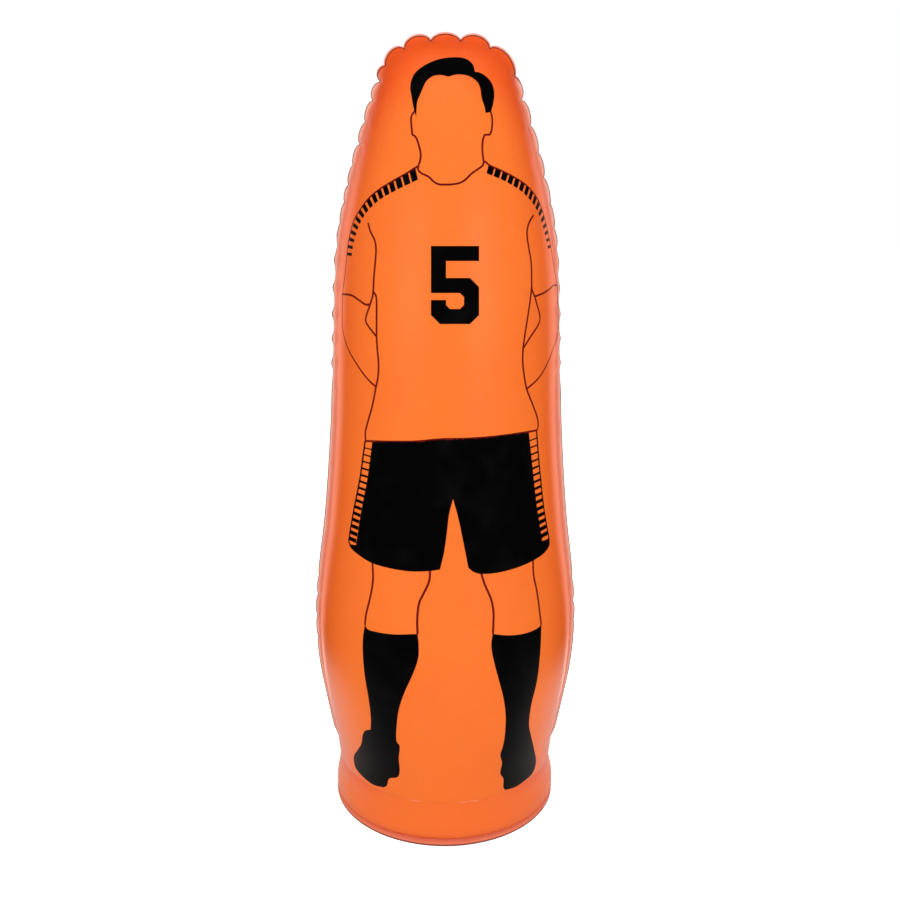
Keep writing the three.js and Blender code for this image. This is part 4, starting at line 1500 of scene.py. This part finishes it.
# Air valve's insert. A hard white screw insert shuts the base with its collar, on a flat black seal.
# Its inner end has a spider with three arms, and its spout takes the cap.
seal_thickness = 0.0012
insert_radius = 0.0122
insert_segments = 240
insert_ease = 0.0004
insert_depth = 0.014
collar_height = 0.004
collar_radius = 0.0175
collar_grip = 0.00045
collar_grips = 40
spout_height = 0.008
spout_radius = 0.009
spout_bore = 0.006
spout_neck = 0.0032
spider_thickness = 0.0016
spider_arms = 3
spoke_width = 0.0024
spoke_sink = 0.0006
spoke_start = 1.6
join_step = 0.00006
cap_pitch = 0.0025
cap_starts = 2
stem_radius = 0.0012
small_ease = 0.0003
ring_segments = 96
valve_clouds = {"Cloud scale": 90.0, "Grain scale": 900.0, "Worn to": 0.8}
plastic_look = {"clouds": valve_clouds, "gloss": 0.32, "relief": 0.00001, "ior": 1.5}
rubber_look = {"clouds": valve_clouds, "gloss": 0.6, "relief": 0.00003, "ior": 1.5}
plastic_white = (0.8, 0.79, 0.75, 1)
worn_plastic_white = (0.7, 0.68, 0.62, 1)
rubber_black = (0.018, 0.018, 0.02, 1)
worn_rubber_black = (0.05, 0.048, 0.047, 1)

collar_foot = air_neck_height + film_gap + seal_thickness + film_gap
collar_top = collar_foot + collar_height
insert_foot = collar_foot - insert_depth
spout_thread_foot = collar_top + spout_neck
spout_top = collar_top + spout_height
spoke_reach = spout_radius + spoke_sink
valve_white = clouded_material("valve_white", plastic_white, worn_plastic_white, **plastic_look)
seal_black = clouded_material("seal_black", rubber_black, worn_rubber_black, **rubber_look)


def joined(*parts):
    points, faces = [], []
    for part_points, part_faces in parts:
        start = len(points)
        points += [tuple(point) for point in part_points]
        faces += [[start + i for i in face] for face in part_faces]
    return np.array(points), faces


def ring_of(outer, inner, low, high):
    profile = [(outer, low), (outer, high), (inner, high), (inner, low)]
    return turned(eased(profile, small_ease), ring_segments)


def spoke(turn):
    """One arm of the spider, from the hub out into the tube's wall."""
    low, high = insert_foot + join_step, insert_foot + spider_thickness - join_step
    half = spoke_width / 2
    section = eased([(half, low), (half, high), (-half, high), (-half, low)], small_ease)
    points = [
        (x * math.cos(turn) - y * math.sin(turn), x * math.sin(turn) + y * math.cos(turn), z)
        for x in (stem_radius * spoke_start, spoke_reach) for y, z in section
    ]
    return points, swept_faces(2, len(section))


insert_screw = thread(insert_radius, insert_foot, air_neck_height, insert_pitch, insert_starts)
spout_screw = thread(spout_radius, spout_thread_foot, spout_top, cap_pitch, cap_starts)


def insert_shape(radius, angle, height):
    grip = (radius > collar_radius - insert_ease) * collar_grip * swell(collar_grips * angle)
    radius, height = insert_screw(radius, angle, height)
    radius, height = spout_screw(radius, angle, height)
    return radius - grip, height


insert_profile = eased([
    (insert_radius, insert_foot), (insert_radius, collar_foot), (collar_radius, collar_foot),
    (collar_radius, collar_top), (spout_radius, collar_top), (spout_radius, spout_top),
    (spout_bore, spout_top), (spout_bore, collar_foot), (spout_radius, insert_foot + spider_thickness),
    (spout_radius, insert_foot),
], insert_ease)
insert_profile = stepped(stepped(insert_profile, insert_radius), spout_radius)
air_insert = joined(
    turned(insert_profile, insert_segments, insert_shape),
    ring_of(2 * stem_radius, stem_radius + film_gap, insert_foot, insert_foot + spider_thickness),
    *(spoke(2 * math.pi * k / spider_arms) for k in range(spider_arms)),
)
fit(
    "air_insert", seated(air_insert, air_seat), valve_white, "valve_insert", "air_valve_insert",
)
air_seal = ring_of(air_neck, insert_radius + film_gap, air_neck_height + film_gap, collar_foot - film_gap)
fit("air_seal", seated(air_seal, air_seat), seal_black, "valve_seal", "air_valve_seal")

# Air valve's flap. A soft black disc hangs under the spider on a stem, and a bead above the spider
# holds it. It lifts off to let air in and falls shut under pressure.
flap_thickness = 0.001
flap_travel = 0.002
flap_radius = spout_radius + flap_thickness
flap_top = insert_foot - film_gap
bead_foot = insert_foot + spider_thickness + film_gap + flap_travel
air_flap = turned(eased([
    (0, flap_top - flap_thickness), (flap_radius, flap_top - flap_thickness), (flap_radius, flap_top),
    (stem_radius, flap_top), (stem_radius, bead_foot), (2 * stem_radius, bead_foot),
    (2 * stem_radius, bead_foot + flap_thickness), (0, bead_foot + flap_thickness),
], small_ease), ring_segments)
fit("air_flap", seated(air_flap, air_seat), seal_black, "valve_flap", "air_valve_flap")

# Air cap. A ribbed white screw cap covers the spout, with a black washer inside its top. A soft
# strap holds it by two rings: one loose round the spout's foot and one round the cap's skirt.
cap_wall = 0.0024
cap_top = 0.0022
cap_ease = 0.0005
cap_dish = (0.78, 0.72, 0.0005)
cap_button = (0.12, 0.1, 0.0002)
cap_ribs = 12
rib_depth = 0.0012
rib_half = 0.0008
rib_root = 0.0006
ring_wall = 0.0024
strap_thickness = 0.0014
strap_width = 0.007
strap_ease = 0.0004
bend_steps = 15
skirt_gap = 0.001
thread_end = 0.0015
air_strap_loop = 0.016
air_cap_segments = 192


def ribbed_cap(spout, skirt_foot, top, pitch, starts, segments):
    """A screw cap with half round ribs and a dished top."""
    inner, outer, crown = spout + film_gap, spout + film_gap + cap_wall, top + cap_top
    edge, dish, dish_depth = cap_dish
    button_edge, button, button_depth = cap_button
    profile = stepped(eased([
        (outer, skirt_foot), (outer, skirt_foot + ring_wall), (outer, crown), (outer * edge, crown),
        (outer * dish, crown - dish_depth), (outer * button_edge, crown - dish_depth),
        (outer * button, crown - button_depth), (0, crown - button_depth), (0, top), (inner, top),
        (inner, skirt_foot),
    ], cap_ease), inner)
    screw = thread(inner, skirt_foot, top - thread_end, pitch, starts, True)

    def shape(radius, angle, height):
        radius, height = screw(radius, angle, height)
        aside = (angle * cap_ribs / (2 * math.pi) + 0.5) % 1 - 0.5
        aside *= 2 * math.pi / cap_ribs * outer / rib_half
        rib = rib_depth * np.sqrt(np.clip(1 - aside ** 2, 0, 1))
        start = np.clip((height - skirt_foot - ring_wall) / rib_half, 0, 1)
        return radius + rib * start * (radius > outer - rib_root), height
    return turned(profile, segments, shape)


def strap_of(neck, neck_foot, skirt_foot, loop):
    """Two rings and a band that leaves one, bends round a loop and comes back to the other."""
    skirt = neck + film_gap + cap_wall
    low, high = neck_foot, skirt_foot + film_gap
    ring = skirt + film_gap + ring_wall
    bend = (high - low) / 2
    start = ring - ring_wall / 2
    run = [start + loop * share for share in (0, 1 / 3, 2 / 3)]
    turns = np.linspace(-math.pi / 2, math.pi / 2, bend_steps)
    path = np.array([
        *((x, 0.0) for x in run),
        *((start + loop + bend * math.cos(t), bend + bend * math.sin(t)) for t in turns),
        *((x, 2 * bend) for x in run[::-1]),
    ]) + (0, low + strap_thickness / 2)
    ahead = unit(np.gradient(path, axis=0))
    half, flat = strap_width / 2, strap_thickness / 2 - join_step
    section = eased([(half, flat), (-half, flat), (-half, -flat), (half, -flat)], strap_ease)
    band = [(x - step[1] * v, u, z + step[0] * v) for (x, z), step in zip(path, ahead) for u, v in section]
    return joined(
        ring_of(ring, neck + film_gap, low, low + strap_thickness),
        ring_of(ring, skirt + film_gap, high, high + strap_thickness),
        (band, swept_faces(len(path), len(section))),
    )


def fit_strap(name, neck, neck_foot, skirt_foot, loop, seat, node):
    """A strap from a ring round the neck to a ring round the cap, baked in place of its CAD node."""
    piece = add_piece(name, *seated(strap_of(neck, neck_foot, skirt_foot, loop), seat), valve_white)
    piece.data.set_sharp_from_angle(angle=piece_sharp)
    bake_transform(piece)
    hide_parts(node)


air_strap_foot = collar_top + film_gap
air_skirt_foot = air_strap_foot + film_gap + strap_thickness + skirt_gap
air_washer_foot = spout_top + film_gap
air_washer_top = air_washer_foot + seal_thickness
air_cap = ribbed_cap(
    spout_radius, air_skirt_foot, air_washer_top + film_gap, cap_pitch, cap_starts, air_cap_segments,
)
fit("air_cap_shell", seated(air_cap, air_seat), valve_white, "valve_cap", "air_cap")
air_washer = ring_of(spout_radius, spout_bore - ring_wall, air_washer_foot, air_washer_top)
fit("air_washer", seated(air_washer, air_seat), seal_black, "cap_washer", "air_cap_washer")
fit_strap(
    "air_strap", spout_radius, air_strap_foot, air_skirt_foot, air_strap_loop, air_seat,
    "air_cap_strap",
)

# Water filler. It has the same kind of base, washer, cap and strap as the air valve, but wider. It is
# welded inside the foot's wall at the back, and the water or sand goes in through it.
filler_bore = 0.016
filler_neck_height = 0.015
filler_thread_foot = 0.0058
filler_pitch = 0.003
filler_starts = 4
filler_strap_loop = 0.02
filler_cap_segments = 288
filler_seat = (filler_face, filler_height)


def wall_drop(x, z):
    """How far the foot's wall lies from the filler's face, at places about its middle."""
    angle = math.pi / 2 - np.arcsin(np.clip(x / filler_face, -1, 1))
    height = filler_height + z
    radius = np.interp(height, wall_heights, wall_radii) + wall_swell(angle, height)
    return np.sqrt(radius ** 2 - x ** 2) - filler_face


filler_screw = thread(filler_neck, filler_thread_foot, filler_neck_height, filler_pitch, filler_starts)
filler_base = necked_flange(filler_bore, filler_neck, filler_neck_height, wall_drop, filler_screw)
fit(
    "filler_neck_and_flange", seated(filler_base, filler_seat), valve_film, "dummy", "filler_base",
    plain_film,
)
filler_strap_foot = 2 * skirt_gap
filler_skirt_foot = filler_strap_foot + strap_thickness + skirt_gap
filler_washer_foot = filler_neck_height + film_gap
filler_washer_top = filler_washer_foot + seal_thickness
filler_washer = ring_of(filler_neck, filler_bore - ring_wall, filler_washer_foot, filler_washer_top)
fit(
    "filler_cap_washer", seated(filler_washer, filler_seat), seal_black, "filler_seal", "filler_washer",
)
filler_cap = ribbed_cap(
    filler_neck, filler_skirt_foot, filler_washer_top + film_gap, filler_pitch, filler_starts,
    filler_cap_segments,
)
fit(
    "filler_cap_shell", seated(filler_cap, filler_seat), valve_white, "filler_lid", "filler_cap",
)
fit_strap(
    "filler_cap_strap", filler_neck, filler_strap_foot, filler_skirt_foot, filler_strap_loop, filler_seat,
    "filler_strap",
)
